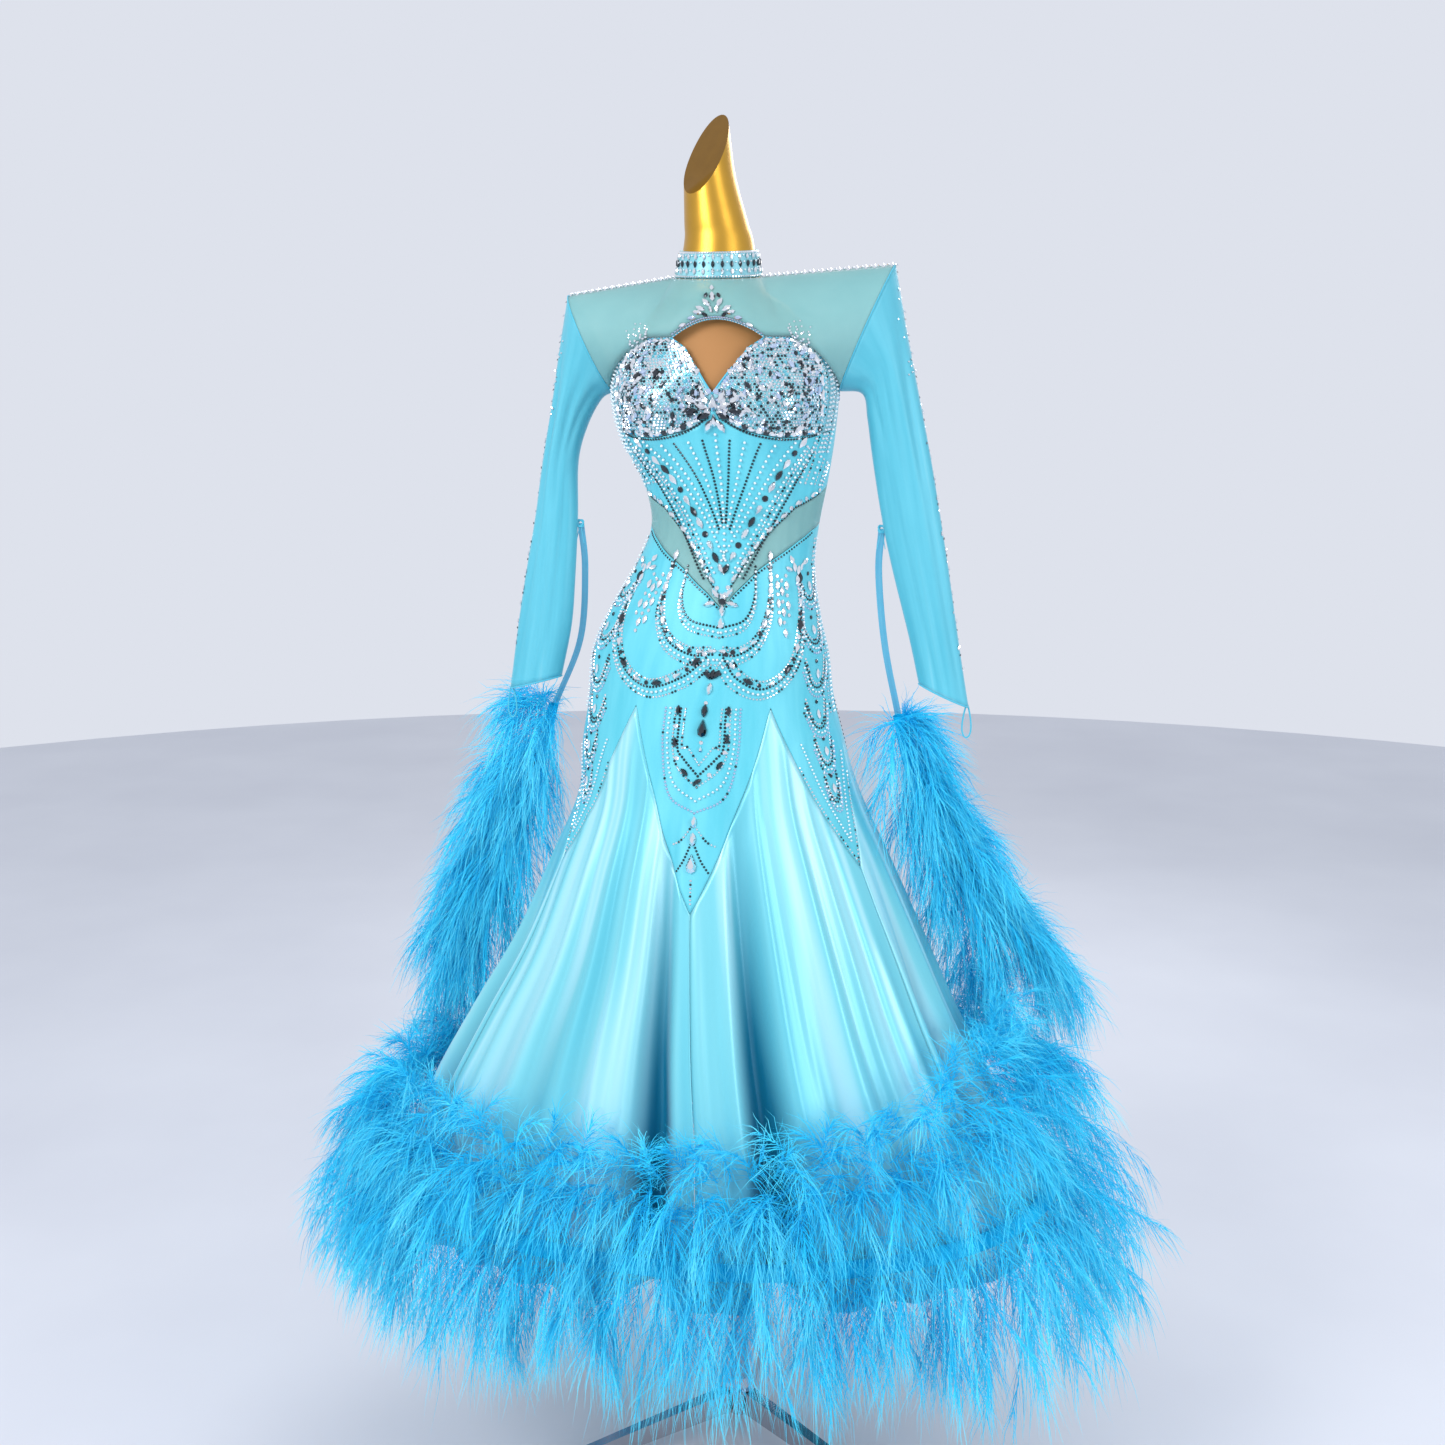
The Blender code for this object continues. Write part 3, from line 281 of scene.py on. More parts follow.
def wrapped(angle):
    return (np.asarray(angle, float) + 180.0) % 360.0 - 180.0


def seam_height(table, angle):
    """Straight runs between the rows of a table of (angle, height), for either side of the body."""
    keys = [row[0] for row in table]
    heights = [row[1] for row in table]
    return np.interp(np.abs(wrapped(angle)), keys, heights)


def body(z, angle, folded=True):
    """Points of the gown's outer surface."""
    z, angle = np.broadcast_arrays(np.asarray(z, float), wrapped(angle))
    turn = np.radians(angle)
    centre_x, left, right, front, back = (curve(BODY_RINGS, c, z) for c in range(1, 6))
    rise = np.zeros_like(z)
    for centre in (-BUST_ANGLE, BUST_ANGLE):
        across = (angle - centre) / BUST_SPREAD
        rise = rise + BUST_RISE * np.exp(-across**2 - ((z - BUST_Z) / BUST_HEIGHT) ** 2)
    side = np.where(turn > 0, right, left) + rise
    depth = np.where(np.abs(angle) < SIDE, front, back) + rise
    x = side * np.sin(turn)
    y = -depth * np.cos(turn)
    if folded:
        sunk = np.zeros_like(z)
        for centre, half_width, deepest, start_z in FOLDS:
            across = np.abs(angle - centre) / half_width
            down = np.clip((start_z - z) / (start_z - HEM_Z), 0.0, 1.0) ** 1.1
            sunk += np.where(across < 1.0, deepest * np.cos(across * np.pi / 2) ** 2 * down, 0.0)
        kept = 1.0 - sunk / np.hypot(x, y)
        x, y = x * kept, y * kept
    return np.stack([centre_x + x, y, z], axis=-1)


def level_normal(z, angle, folded=True):
    """The level direction that points straight out of the surface."""
    step = 0.2
    along = body(z, np.asarray(angle) + step, folded) - body(z, np.asarray(angle) - step, folded)
    normal = np.stack([along[..., 1], -along[..., 0], np.zeros_like(along[..., 0])], axis=-1)
    return normal / np.linalg.norm(normal, axis=-1, keepdims=True)


def crease_depth(z, angle):
    depth = np.zeros(np.broadcast(z, angle).shape)
    for top_angle, top_z, low_angle, low_z, half_width, deepest in CREASES:
        share = (top_z - z) / (top_z - low_z)
        inside = (share > 0.0) & (share < 1.0)
        centre = top_angle + (low_angle - top_angle) * share
        across = wrapped(angle - centre) / half_width
        fade = np.sin(np.pi * np.clip(share, 0.0, 1.0)) ** 0.6
        depth += np.where(inside, deepest * np.exp(-across**2) * fade, 0.0)
    return depth


def skin(z, angle, lift=0.0):
    """Points on the cloth with its creases, lifted out by a distance."""
    z, angle = np.broadcast_arrays(np.asarray(z, float), np.asarray(angle, float))
    out = np.asarray(lift) - crease_depth(z, angle)
    return body(z, angle) + level_normal(z, angle) * out[..., None]


def skin_frames(z, angle):
    """Points on the cloth with the normal and the sideways and upward directions there."""
    here = skin(z, angle)
    beside = skin(z, np.asarray(angle) + 0.3) - skin(z, np.asarray(angle) - 0.3)
    above = skin(np.asarray(z) + 0.002, angle) - skin(np.asarray(z) - 0.002, angle)
    beside /= np.linalg.norm(beside, axis=-1, keepdims=True)
    above /= np.linalg.norm(above, axis=-1, keepdims=True)
    normal = np.cross(beside, above)
    normal /= np.linalg.norm(normal, axis=-1, keepdims=True)
    return here, normal, beside, above


def new_mesh(name, points, quads=(), tris=(), uv=None, smooth=True):
    points = np.asarray(points, float).reshape(-1, 3)
    quads = np.asarray(quads, int).reshape(-1, 4)
    tris = np.asarray(tris, int).reshape(-1, 3)
    mesh = bpy.data.meshes.new(name)
    mesh.vertices.add(len(points))
    mesh.vertices.foreach_set("co", points.ravel())
    corners = np.concatenate([quads.ravel(), tris.ravel()])
    mesh.loops.add(len(corners))
    mesh.loops.foreach_set("vertex_index", corners)
    starts = np.concatenate([np.arange(len(quads)) * 4, len(quads) * 4 + np.arange(len(tris)) * 3])
    mesh.polygons.add(len(starts))
    mesh.polygons.foreach_set("loop_start", starts)
    if uv is not None:
        layer = mesh.uv_layers.new(name="UV")
        layer.data.foreach_set("uv", np.asarray(uv, float).reshape(-1, 2)[corners].ravel())
    mesh.polygons.foreach_set("use_smooth", np.full(len(starts), smooth))
    mesh.update(calc_edges=True)
    return mesh


def new_piece(name, mesh, finish, replaced=()):
    made = bpy.data.objects.new(name, mesh)
    bpy.context.scene.collection.objects.link(made)
    mesh.materials.append(finish)
    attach(made, "root")
    if replaced:
        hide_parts(*replaced)
    return made


def grid_faces(columns, rows, ring=False):
    """Quads of a grid of points, column by column. With ring, the last column joins the first."""
    spans = columns if ring else columns - 1
    i, j = np.meshgrid(np.arange(spans), np.arange(rows - 1), indexing="ij")
    k = (i + 1) % columns
    quads = np.stack([i * rows + j, k * rows + j, k * rows + j + 1, i * rows + j + 1], axis=-1)
    return quads.reshape(-1, 4)


def cloth(name, points, uv, finish, ring=False, thick=SHELL, flip=False):
    """A thin shell through a grid of points: a sheet thickened by a Solidify modifier."""
    columns, rows = points.shape[:2]
    quads = grid_faces(columns, rows, ring)
    if flip:
        quads = quads[:, ::-1]
    made = new_piece(f"{name}_cloth", new_mesh(name, points, quads, uv=uv), finish, (name,))
    solid = made.modifiers.new("Thickness", "SOLIDIFY")
    solid.thickness = thick
    solid.offset = -1.0
    return made


def metric_uv(points):
    """Texture coordinates in metres: along the columns' width and up the rows."""
    across = np.linalg.norm(np.diff(points, axis=0), axis=-1).mean(axis=1)
    u = np.concatenate([[0.0], np.cumsum(across)])
    up = np.linalg.norm(np.diff(points, axis=1), axis=-1).mean(axis=0)
    v = np.concatenate([[0.0], np.cumsum(up)])
    return np.stack(np.broadcast_arrays(u[:, None], v[None, :]), axis=-1)


# A fold this deep gets the full shade painted into the skirt's folds.
FULL_SHADE_DEPTH = 0.036


def angle_uv(angle, z):
    """Texture coordinates that follow the cloth's vertical grain all the way down a flared piece."""
    return np.stack([np.asarray(angle) / 100.0, np.asarray(z)], axis=-1)


def fold_shade_weight(z, angle):
    """How deep a place lies in the skirt's folds, from 0 to 1: the weight of the shade painted into them."""
    z, angle = np.broadcast_arrays(np.asarray(z, float), wrapped(angle))
    flat, folded = body(z, angle, False), body(z, angle)
    return np.clip(np.linalg.norm(flat - folded, axis=-1) / FULL_SHADE_DEPTH, 0.0, 1.0)


def panel(name, low_angle, high_angle, low, high, columns, rows, finish, power=1.0):
    """A panel between two seams across the body."""
    angles = np.linspace(low_angle, high_angle, columns)
    share = np.linspace(0.0, 1.0, rows) ** power
    z_low, z_high = low(angles), high(angles)
    z = z_low[:, None] + (z_high - z_low)[:, None] * share[None, :]
    angle = np.broadcast_to(angles[:, None], z.shape)
    made = cloth(name, skin(z, angle), angle_uv(angle, z), finish)
    # the fold depth, kept for the shade painted into the skirt's folds
    shade = made.data.attributes.new("shade_in_folds", "FLOAT", "POINT")
    shade.data.foreach_set("value", fold_shade_weight(z, angle).ravel())
    return made


def make_panels(finishes):
    satin, stones, mesh = finishes["satin"], finishes["cup"], finishes["teal_mesh"]
    corset = finishes["corset"]
    edge = 0.06
    gap = EDGE_GAP / 2
    for name, low, high in (("cup_left", edge, SIDE - edge), ("cup_right", edge - SIDE, -edge)):
        panel(name, low, high, lambda a: seam_height(CUP_LOW, a) + gap,
              lambda a: seam_height(CUP_TOP, a) - gap, 70, 24, stones)
    panel("bodice_front", edge - SIDE, SIDE - edge, lambda a: seam_height(CORSET_EDGE, a) + gap,
          lambda a: seam_height(CUP_LOW, a) - gap, 141, 36, corset)
    panel("bodice_back", SIDE + edge, 270.0 - edge, lambda a: np.full_like(a, WAIST_Z) + gap,
          lambda a: seam_height(BACK_TOP, a) - gap, 121, 30, corset)
    for name, low, high in (("mesh_inset_left", edge, SIDE - edge), ("mesh_inset_right", edge - SIDE, -edge)):
        panel(name, low, high, lambda a: seam_height(HIP_TOP, a) + gap,
              lambda a: seam_height(CORSET_EDGE, a) - gap, 60, 10, mesh)
    panel("hip_yoke_front", edge - SIDE, SIDE - edge, lambda a: seam_height(HIP_POINTS, a) + gap,
          lambda a: seam_height(HIP_TOP, a) - gap, 141, 48, corset)
    panel("hip_yoke_back", SIDE + edge, 270.0 - edge, lambda a: seam_height(HIP_POINTS, a) + gap,
          lambda a: np.full_like(a, WAIST_Z) - gap, 121, 44, corset)
    for name, low, high in zip(GODET_NAMES, GODET_SEAMS, GODET_SEAMS[1:]):
        panel(name, low + edge, high - edge, lambda a: np.full_like(a, HEM_Z),
              lambda a: seam_height(HIP_POINTS, a) - gap, 91, 40, satin, power=0.9)


def make_underskirt(finish):
    angles = np.linspace(-180.0, 180.0, 361)[:-1]
    z = np.linspace(UNDERSKIRT_HEM_Z, UNDERSKIRT_TOP_Z, 6)
    inset = np.interp(z, (UNDERSKIRT_HEM_Z, UNDERSKIRT_TOP_Z), (0.007, 0.0020))
    wave = 0.0022 * np.sin(np.radians(angles) * 62.0)
    lift = -inset[None, :] - 0.0022 + wave[:, None] * np.linspace(1.0, 0.0, len(z))[None, :]
    angle = np.broadcast_to(angles[:, None], lift.shape)
    heights = np.broadcast_to(z[None, :], lift.shape)
    cloth("underskirt", skin(heights, angle, lift), angle_uv(angle, heights), finish, ring=True)


def collar_radius(z):
    share = (z - COLLAR_LOW_Z) / (COLLAR_TOP_Z - COLLAR_LOW_Z)
    return COLLAR_LOW_RADIUS + (COLLAR_TOP_RADIUS - COLLAR_LOW_RADIUS) * share


def collar_point(z, turn, lift=0.0):
    radius = collar_radius(z) + lift
    return np.stack(np.broadcast_arrays(COLLAR_X + radius * np.sin(turn), -radius * np.cos(turn), z), axis=-1)


def collar_low(turn):
    return COLLAR_LOW_Z + COLLAR_BACK_RISE * (1 - np.cos(turn)) / 2


def make_collar(finish):
    turns = np.radians(np.linspace(0.0, 360.0, 145)[:-1])
    height = COLLAR_TOP_Z - COLLAR_LOW_Z
    share = np.linspace(0.0, 1.0, 13)
    z = collar_low(turns)[:, None] + height * share[None, :]
    roll = 0.0009 * (np.exp(-((share - 0.06) / 0.06) ** 2) + np.exp(-((share - 0.94) / 0.06) ** 2))
    points = collar_point(z, np.broadcast_to(turns[:, None], z.shape), roll[None, :])
    cloth("collar", points, metric_uv(points), finish, ring=True, thick=0.0018)


def armhole(side, turn, depth=ARMHOLE_DEPTH):
    """The armhole from the armpit round its front to the shoulder, or round its back for a negative depth."""
    sign = -1.0 if side == "right" else 1.0
    low = body(ARMPIT_Z, sign * SIDE, False)
    top = SHOULDERS[side]
    turn = np.asarray(turn, float)[..., None]
    reach = np.concatenate([np.zeros_like(turn), depth * np.sin(turn), np.zeros_like(turn)], axis=-1)
    return (low + top) / 2 - (top - low) / 2 * np.cos(turn) - reach


def yoke_grid(front, columns=101, rows=28):
    """The front or back yoke: a patch from the bodice to the collar and shoulders, between the armholes."""
    facing = 1.0 if front else -1.0
    u = np.linspace(0.0, 1.0, columns)
    v = np.linspace(0.0, 1.0, rows)
    angle = np.clip(-SIDE + 2 * SIDE * u, 0.12 - SIDE, SIDE - 0.12)
    if front:
        z = seam_height(CUP_TOP, angle)
        arch = KEYHOLE_Z + KEYHOLE_RISE * (1 - (angle / KEYHOLE_ANGLE) ** 2)
        z = np.where(np.abs(angle) < KEYHOLE_ANGLE, arch, z)
        low = skin(z + EDGE_GAP / 2, angle)
    else:
        turned = 180.0 - angle
        low = skin(seam_height(BACK_TOP, turned) + EDGE_GAP / 2, turned)
    turn = np.radians(angle / COLLAR_SHARE * (SIDE - 0.3))
    turn = turn if front else np.pi - turn
    at_collar = collar_point(collar_low(turn), turn) - (0.0, 0.0, 2 * SEAM)
    share = (np.abs(angle) - COLLAR_SHARE) / (SIDE - COLLAR_SHARE)
    sign = np.where(angle > 0, 1.0, -1.0)
    neck_z = collar_low(math.pi / 2) - 2 * SEAM
    neck = np.stack([COLLAR_X + sign * COLLAR_LOW_RADIUS, 0 * sign, neck_z + 0 * sign], axis=-1)
    shoulder = np.where((sign > 0)[:, None], SHOULDERS["left"], SHOULDERS["right"])
    seam = neck + (shoulder - neck) * share[:, None] - (0.0, facing * SEAM / 2, 0.0)
    high = np.where((np.abs(angle) <= COLLAR_SHARE)[:, None], at_collar, seam)
    rise = np.arccos(1 - 2 * v)
    start = armhole("right", rise, facing * ARMHOLE_DEPTH)
    end = armhole("left", rise, facing * ARMHOLE_DEPTH)
    flat = low[:, None] * (1 - v)[None, :, None] + high[:, None] * v[None, :, None]
    swell_start = start - (low[0] * (1 - v)[:, None] + high[0] * v[:, None])
    swell_end = end - (low[-1] * (1 - v)[:, None] + high[-1] * v[:, None])
    kept = (YOKE_SWELL + (1 - YOKE_SWELL) * np.abs(1 - 2 * u))[:, None, None]
    swell = swell_start[None] * (1 - u)[:, None, None] + swell_end[None] * u[:, None, None]
    return flat + swell * kept


def make_yokes(finish):
    for name, front in (("yoke_front", True), ("yoke_back", False)):
        points = yoke_grid(front)
        cloth(name, points, metric_uv(points), finish, flip=not front)


def sleeve_grid(side, around=60, rows=64, lift=0.0):
    """Points of a sleeve from its armhole to its cuff, with its creases."""
    sign = -1.0 if side == "right" else 1.0
    low = body(ARMPIT_Z, sign * SIDE, False)
    lean = SHOULDERS[side] - low
    out = np.array((sign * lean[2], 0.0, -sign * lean[0]))
    out /= np.linalg.norm(out)
    turn = np.linspace(0.0, 2 * np.pi, around + 1)[:-1]
    rings = [armhole(side, turn) + out * 2 * SEAM]
    for outer_x, outer_z, inner_x, inner_z, depth in SLEEVE_SECTIONS[side]:
        outer, inner = np.array((outer_x, 0.0, outer_z)), np.array((inner_x, 0.0, inner_z))
        reach = np.stack([0 * turn, depth * np.sin(turn), 0 * turn], axis=-1)
        rings.append((outer + inner) / 2 - (outer - inner) / 2 * np.cos(turn)[:, None] - reach)
    rings = np.array(rings)
    share = np.linspace(0.0, len(rings) - 1, rows)
    flat = rings.reshape(len(rings), -1)
    table = [(k, *ring) for k, ring in enumerate(flat)]
    grid = np.stack([curve(table, c + 1, share) for c in range(flat.shape[1])], axis=-1)
    grid = grid.reshape(rows, around, 3).transpose(1, 0, 2)
    depth = np.zeros((around, rows))
    length = np.linspace(0.0, 1.0, rows)[None, :]
    degrees = np.degrees(turn)[:, None]
    for top_turn, top_share, low_turn, low_share, half_width, deepest in SLEEVE_CREASES:
        run = (length - top_share) / (low_share - top_share)
        centre = top_turn + (low_turn - top_turn) * run
        across = wrapped(degrees - centre) / half_width
        fade = np.sin(np.pi * np.clip(run, 0.0, 1.0)) ** 0.6
        depth += np.where((run > 0) & (run < 1), deepest * np.exp(-across**2) * fade, 0.0)
    middle = grid.mean(axis=0, keepdims=True)
    away = grid - middle
    away /= np.linalg.norm(away, axis=-1, keepdims=True)
    return grid + away * (lift - depth)[..., None]


def tube(points, radius, sides=8, closed=False, taper=None):
    """Points and quads of a round cord along a line of points."""
    points = np.asarray(points, float)
    count = len(points)
    if closed:
        along = np.roll(points, -1, axis=0) - np.roll(points, 1, axis=0)
    else:
        along = np.gradient(points, axis=0)
    along /= np.linalg.norm(along, axis=-1, keepdims=True)
    guide = np.array((0.13, 0.97, 0.21))
    first = np.cross(along, guide)
    first /= np.linalg.norm(first, axis=-1, keepdims=True)
    second = np.cross(along, first)
    turn = np.linspace(0.0, 2 * np.pi, sides + 1)[:-1]
    size = radius * (np.ones(count) if taper is None else np.asarray(taper))
    ring = (first[:, None] * np.cos(turn)[None, :, None] + second[:, None] * np.sin(turn)[None, :, None])
    shell = points[:, None] + ring * size[:, None, None]
    faces = grid_faces(count, sides, ring=closed)
    wrap = np.arange(count if closed else count - 1)
    nxt = (wrap + 1) % count
    last = sides - 1
    closing = np.stack([wrap * sides + last, nxt * sides + last, nxt * sides, wrap * sides], axis=-1)
    return shell.reshape(-1, 3), np.concatenate([faces, closing])


def joined(parts):
    """Several (points, quads) pairs as one."""
    points, quads, count = [], [], 0
    for some_points, some_quads in parts:
        points.append(some_points)
        quads.append(some_quads + count)
        count += len(some_points)
    return np.concatenate(points), np.concatenate(quads)


def loop_line(side):
    outer_x, outer_z, _, _, _ = SLEEVE_SECTIONS[side][-1]
    sign = -1.0 if side == "right" else 1.0
    turn = np.linspace(0.0, 2 * np.pi, 37)[:-1]
    down = (1 - np.cos(turn)) / 2
    width = LOOP_WIDTH / 2 * np.sin(turn) * (0.35 + 0.65 * down)
    x = outer_x - sign * 0.002 + width
    z = outer_z + 0.003 - LOOP_LENGTH * down
    return np.stack([x, 0 * x, z], axis=-1)


def make_sleeves(finish, trim):
    for side in ("right", "left"):
        grid = sleeve_grid(side)
        flip = side == "left"
        cloth(f"sleeve_{side}", grid, metric_uv(grid), finish, ring=True, flip=flip)
        lines = [tube(loop_line(side), LOOP_CORD / 2, closed=True)]
        for column, size in ((-1, 0.0011), (0, 0.0008)):
            edge = sleeve_grid(side)[:, column]
            lines.append(tube(edge, size, sides=6, closed=True))
        points, quads = joined(lines)
        name = f"sleeve_{side}_binding"
        new_piece(name, new_mesh(name, points, quads), trim)


def route_point(route, share):
    rows = [(k / (len(route) - 1), *point) for k, point in enumerate(route)]
    return np.stack([curve(rows, c, share) for c in (1, 2, 3)], axis=-1)


def make_floats(finish, trim):
    """The tie from the elbow, widening into the chiffon that hangs behind the boa."""
    for side in ("right", "left"):
        sign = -1.0 if side == "right" else 1.0
        behind = np.array((0.0, FLOAT_SEAT, 0.0))
        cord = route_point(FLOAT_ROUTES[side], np.linspace(0.0, 1.0, 60)) + behind
        tie = TIE_ROUTES[side] + (tuple(cord[0]),)
        ribbon = route_point(tie, np.linspace(0.0, 1.0, 41))[:-1]
        middle = np.concatenate([ribbon, cord])
        share = np.concatenate([np.zeros(len(ribbon)), np.linspace(0.0, 1.0, len(cord))])
        width = TIE_WIDTH + (FLOAT_WIDTH - TIE_WIDTH) * np.minimum(1.0, 1.6 * share)
        width = width * (1.0 - FLOAT_END_TRIM * np.clip((share - 0.7) / 0.3, 0.0, 1.0))
        across = np.linspace(0.0, 1.0, 15)
        x = sign * (-TIE_WIDTH / 2 + across[:, None] * width[None, :])
        sway = 0.010 * width[None, :] / FLOAT_WIDTH
        y = sway * across[:, None] + 0.5 * sway * (1 - np.cos(across[:, None] * 6 * np.pi)) * share[None, :]
        points = middle[None] + np.stack([x, y, 0 * x], axis=-1)
        cloth(f"float_{side}", points, metric_uv(points), finish,
              thick=CHIFFON_SHELL, flip=side == "left")
        knot = np.array(TIE_ROUTES[side][0])
        turn = np.linspace(0.0, 2 * np.pi, 19)[:-1]
        parts = []
        for tilt in (0.4, -0.5):
            ring = np.stack([0.0042 * np.cos(turn), 0.002 * np.sin(turn) - 0.002,
                             0.004 * np.sin(turn) + tilt * 0.004 * np.cos(turn)], axis=-1)
            parts.append(tube(knot + ring, 0.0012, sides=6, closed=True))
        for lean in (-0.006, 0.005):
            end = np.linspace(0.0, 1.0, 9)
            tail = knot + np.stack([lean * end, -0.002 - 0.002 * end, -0.026 * end], axis=-1)
            parts.append(tube(tail, 0.0008, sides=6, taper=1.0 - 0.4 * end))
        points, quads = joined(parts)
        new_piece(f"float_{side}_knot", new_mesh(f"float_{side}_knot", points, quads), trim)


# Feathers. Each plume has a shaft with soft barbs on both sides, and a boa is many plumes round a cord.
BARB_STATIONS = 5
BARB_WIDTH = 0.0011
HEM_PLUMES = 900
HEM_BARBS = 60
HEM_BARB_LENGTH = 0.052
HEM_PARTS = 4
HEM_ROWS = (
    # root_z, direction, length, droop
    (0.526, 70.0, 0.104, 0.36),
    (0.430, -24.0, 0.110, 0.50),
    (0.515, 36.0, 0.116, 0.80),
    (0.460, 12.0, 0.122, 0.80),
    (0.490, 50.0, 0.112, 0.66),
    (0.425, -60.0, 0.112, 0.30),
)
# How much shorter the outer plumes are at a float's top, so that the left cuff's loop shows beside them.
FLOAT_TOP_TRIM = {"right": 0.0, "left": 0.70}
FLOAT_END_TRIM = 0.40
FLOAT_PLUMES = 156
FLOAT_BARBS = 60
FLOAT_BARB_LENGTH = 0.056
FLOAT_ROWS = (
    # direction, length, droop
    (-10.0, 0.100, 0.75),
    (34.0, 0.096, 0.80),
    (4.0, 0.112, 0.70),
    (72.0, 0.080, 0.80),
    (112.0, 0.066, 0.70),
    (-42.0, 0.080, 0.60),
)


def unit(vectors):
    return vectors / np.maximum(np.linalg.norm(vectors, axis=-1, keepdims=True), 1e-9)


def plume_mesh(name, roots, ways, lengths, droops, barbs, barb_length, seed):
    """One joined mesh of plumes. Its texture coordinates: a plume's tint, and how near a point is to a tip."""
    chance = np.random.RandomState(seed)
    count = len(roots)
    share = np.linspace(0.05, 1.0, barbs)[None, :] + chance.uniform(-0.012, 0.012, (count, barbs))
    down = np.array((0.0, 0.0, -1.0))
    sideways = unit(np.cross(ways, chance.normal(size=(count, 3))))
    curl = chance.uniform(-0.42, 0.42, (count, 1, 1))
    reach = lengths[:, None, None] * share[..., None]
    bend = lengths[:, None, None] * share[..., None] ** 2
    sag = down * droops[:, None, None] + sideways[:, None] * curl
    base = roots[:, None] + ways[:, None] * reach + sag * bend
    tangent = unit(ways[:, None] + 2 * down * droops[:, None, None] * share[..., None]
                   + 2 * sideways[:, None] * curl * share[..., None])
    across = unit(np.cross(tangent, sideways[:, None]))
    side = np.where(np.arange(barbs) % 2 == 0, 1.0, -1.0)[None, :, None]
    lean = np.radians(60.0 - 44.0 * share + chance.normal(0.0, 11.0, (count, barbs)))[..., None]
    lift = chance.normal(0.0, 0.24, (count, barbs, 1))
    heading = unit(tangent * np.cos(lean) + across * side * np.sin(lean) + sideways[:, None] * lift)
    size = barb_length * (0.55 + 0.6 * np.sin(np.pi * np.clip(share * 0.75 + 0.2, 0, 1)))
    size = size * chance.uniform(0.6, 1.25, (count, barbs))
    station = np.linspace(0.0, 1.0, BARB_STATIONS)
    along = station[None, None, :, None] * size[..., None, None]
    bow = (station**2)[None, None, :, None] * size[..., None, None]
    swing = unit(np.cross(heading, chance.normal(size=(count, barbs, 3))))
    turns = station * chance.uniform(3.0, 6.0, (count, barbs, 1))
    turns = turns + chance.uniform(0.0, 6.0, (count, barbs, 1))
    wave = (np.sin(turns) * station)[..., None] * size[..., None, None] * 0.15
    droop = chance.uniform(0.25, 1.10, (count, barbs, 1, 1))
    points = (base[:, :, None] + heading[:, :, None] * along + down * droop * bow
              + tangent[:, :, None] * 0.25 * bow + swing[:, :, None] * wave)
    wide = unit(np.cross(heading, unit(chance.normal(size=(count, barbs, 3)))))
    width = BARB_WIDTH * (1.0 - 0.62 * station) * 0.5
    left = points - wide[:, :, None] * width[None, None, :, None]
    right = points + wide[:, :, None] * width[None, None, :, None]
    pairs = np.stack([left[:, :, :-1], right[:, :, :-1]], axis=3).reshape(count * barbs, -1, 3)
    tips = points[:, :, -1].reshape(count * barbs, 1, 3)
    strips = np.concatenate([pairs, tips], axis=1)
    each = strips.shape[1]
    first = np.arange(count * barbs)[:, None] * each
    steps = np.arange(BARB_STATIONS - 2)[None, :] * 2
    quads = np.stack([first + steps, first + steps + 1, first + steps + 3, first + steps + 2], axis=-1)
    tris = np.stack([first[:, 0] + each - 3, first[:, 0] + each - 2, first[:, 0] + each - 1], axis=-1)
    tint = chance.uniform(0.0, 1.0, (count, 1)) + chance.normal(0.0, 0.10, (count, barbs))
    tint = np.broadcast_to(tint[..., None], (count, barbs, BARB_STATIONS))
    nearness = (0.30 * share[..., None] + 0.70 * station[None, None, :]) * (0.55 + 0.45 * share[..., None])
    coords = np.stack([tint, nearness], axis=-1)
    uv_pairs = np.repeat(coords[:, :, :-1], 2, axis=2).reshape(count * barbs, -1, 2)
    uv_tips = coords[:, :, -1].reshape(count * barbs, 1, 2)
    uv = np.concatenate([uv_pairs, uv_tips], axis=1)
    return new_mesh(name, strips, quads, tris, uv=uv)


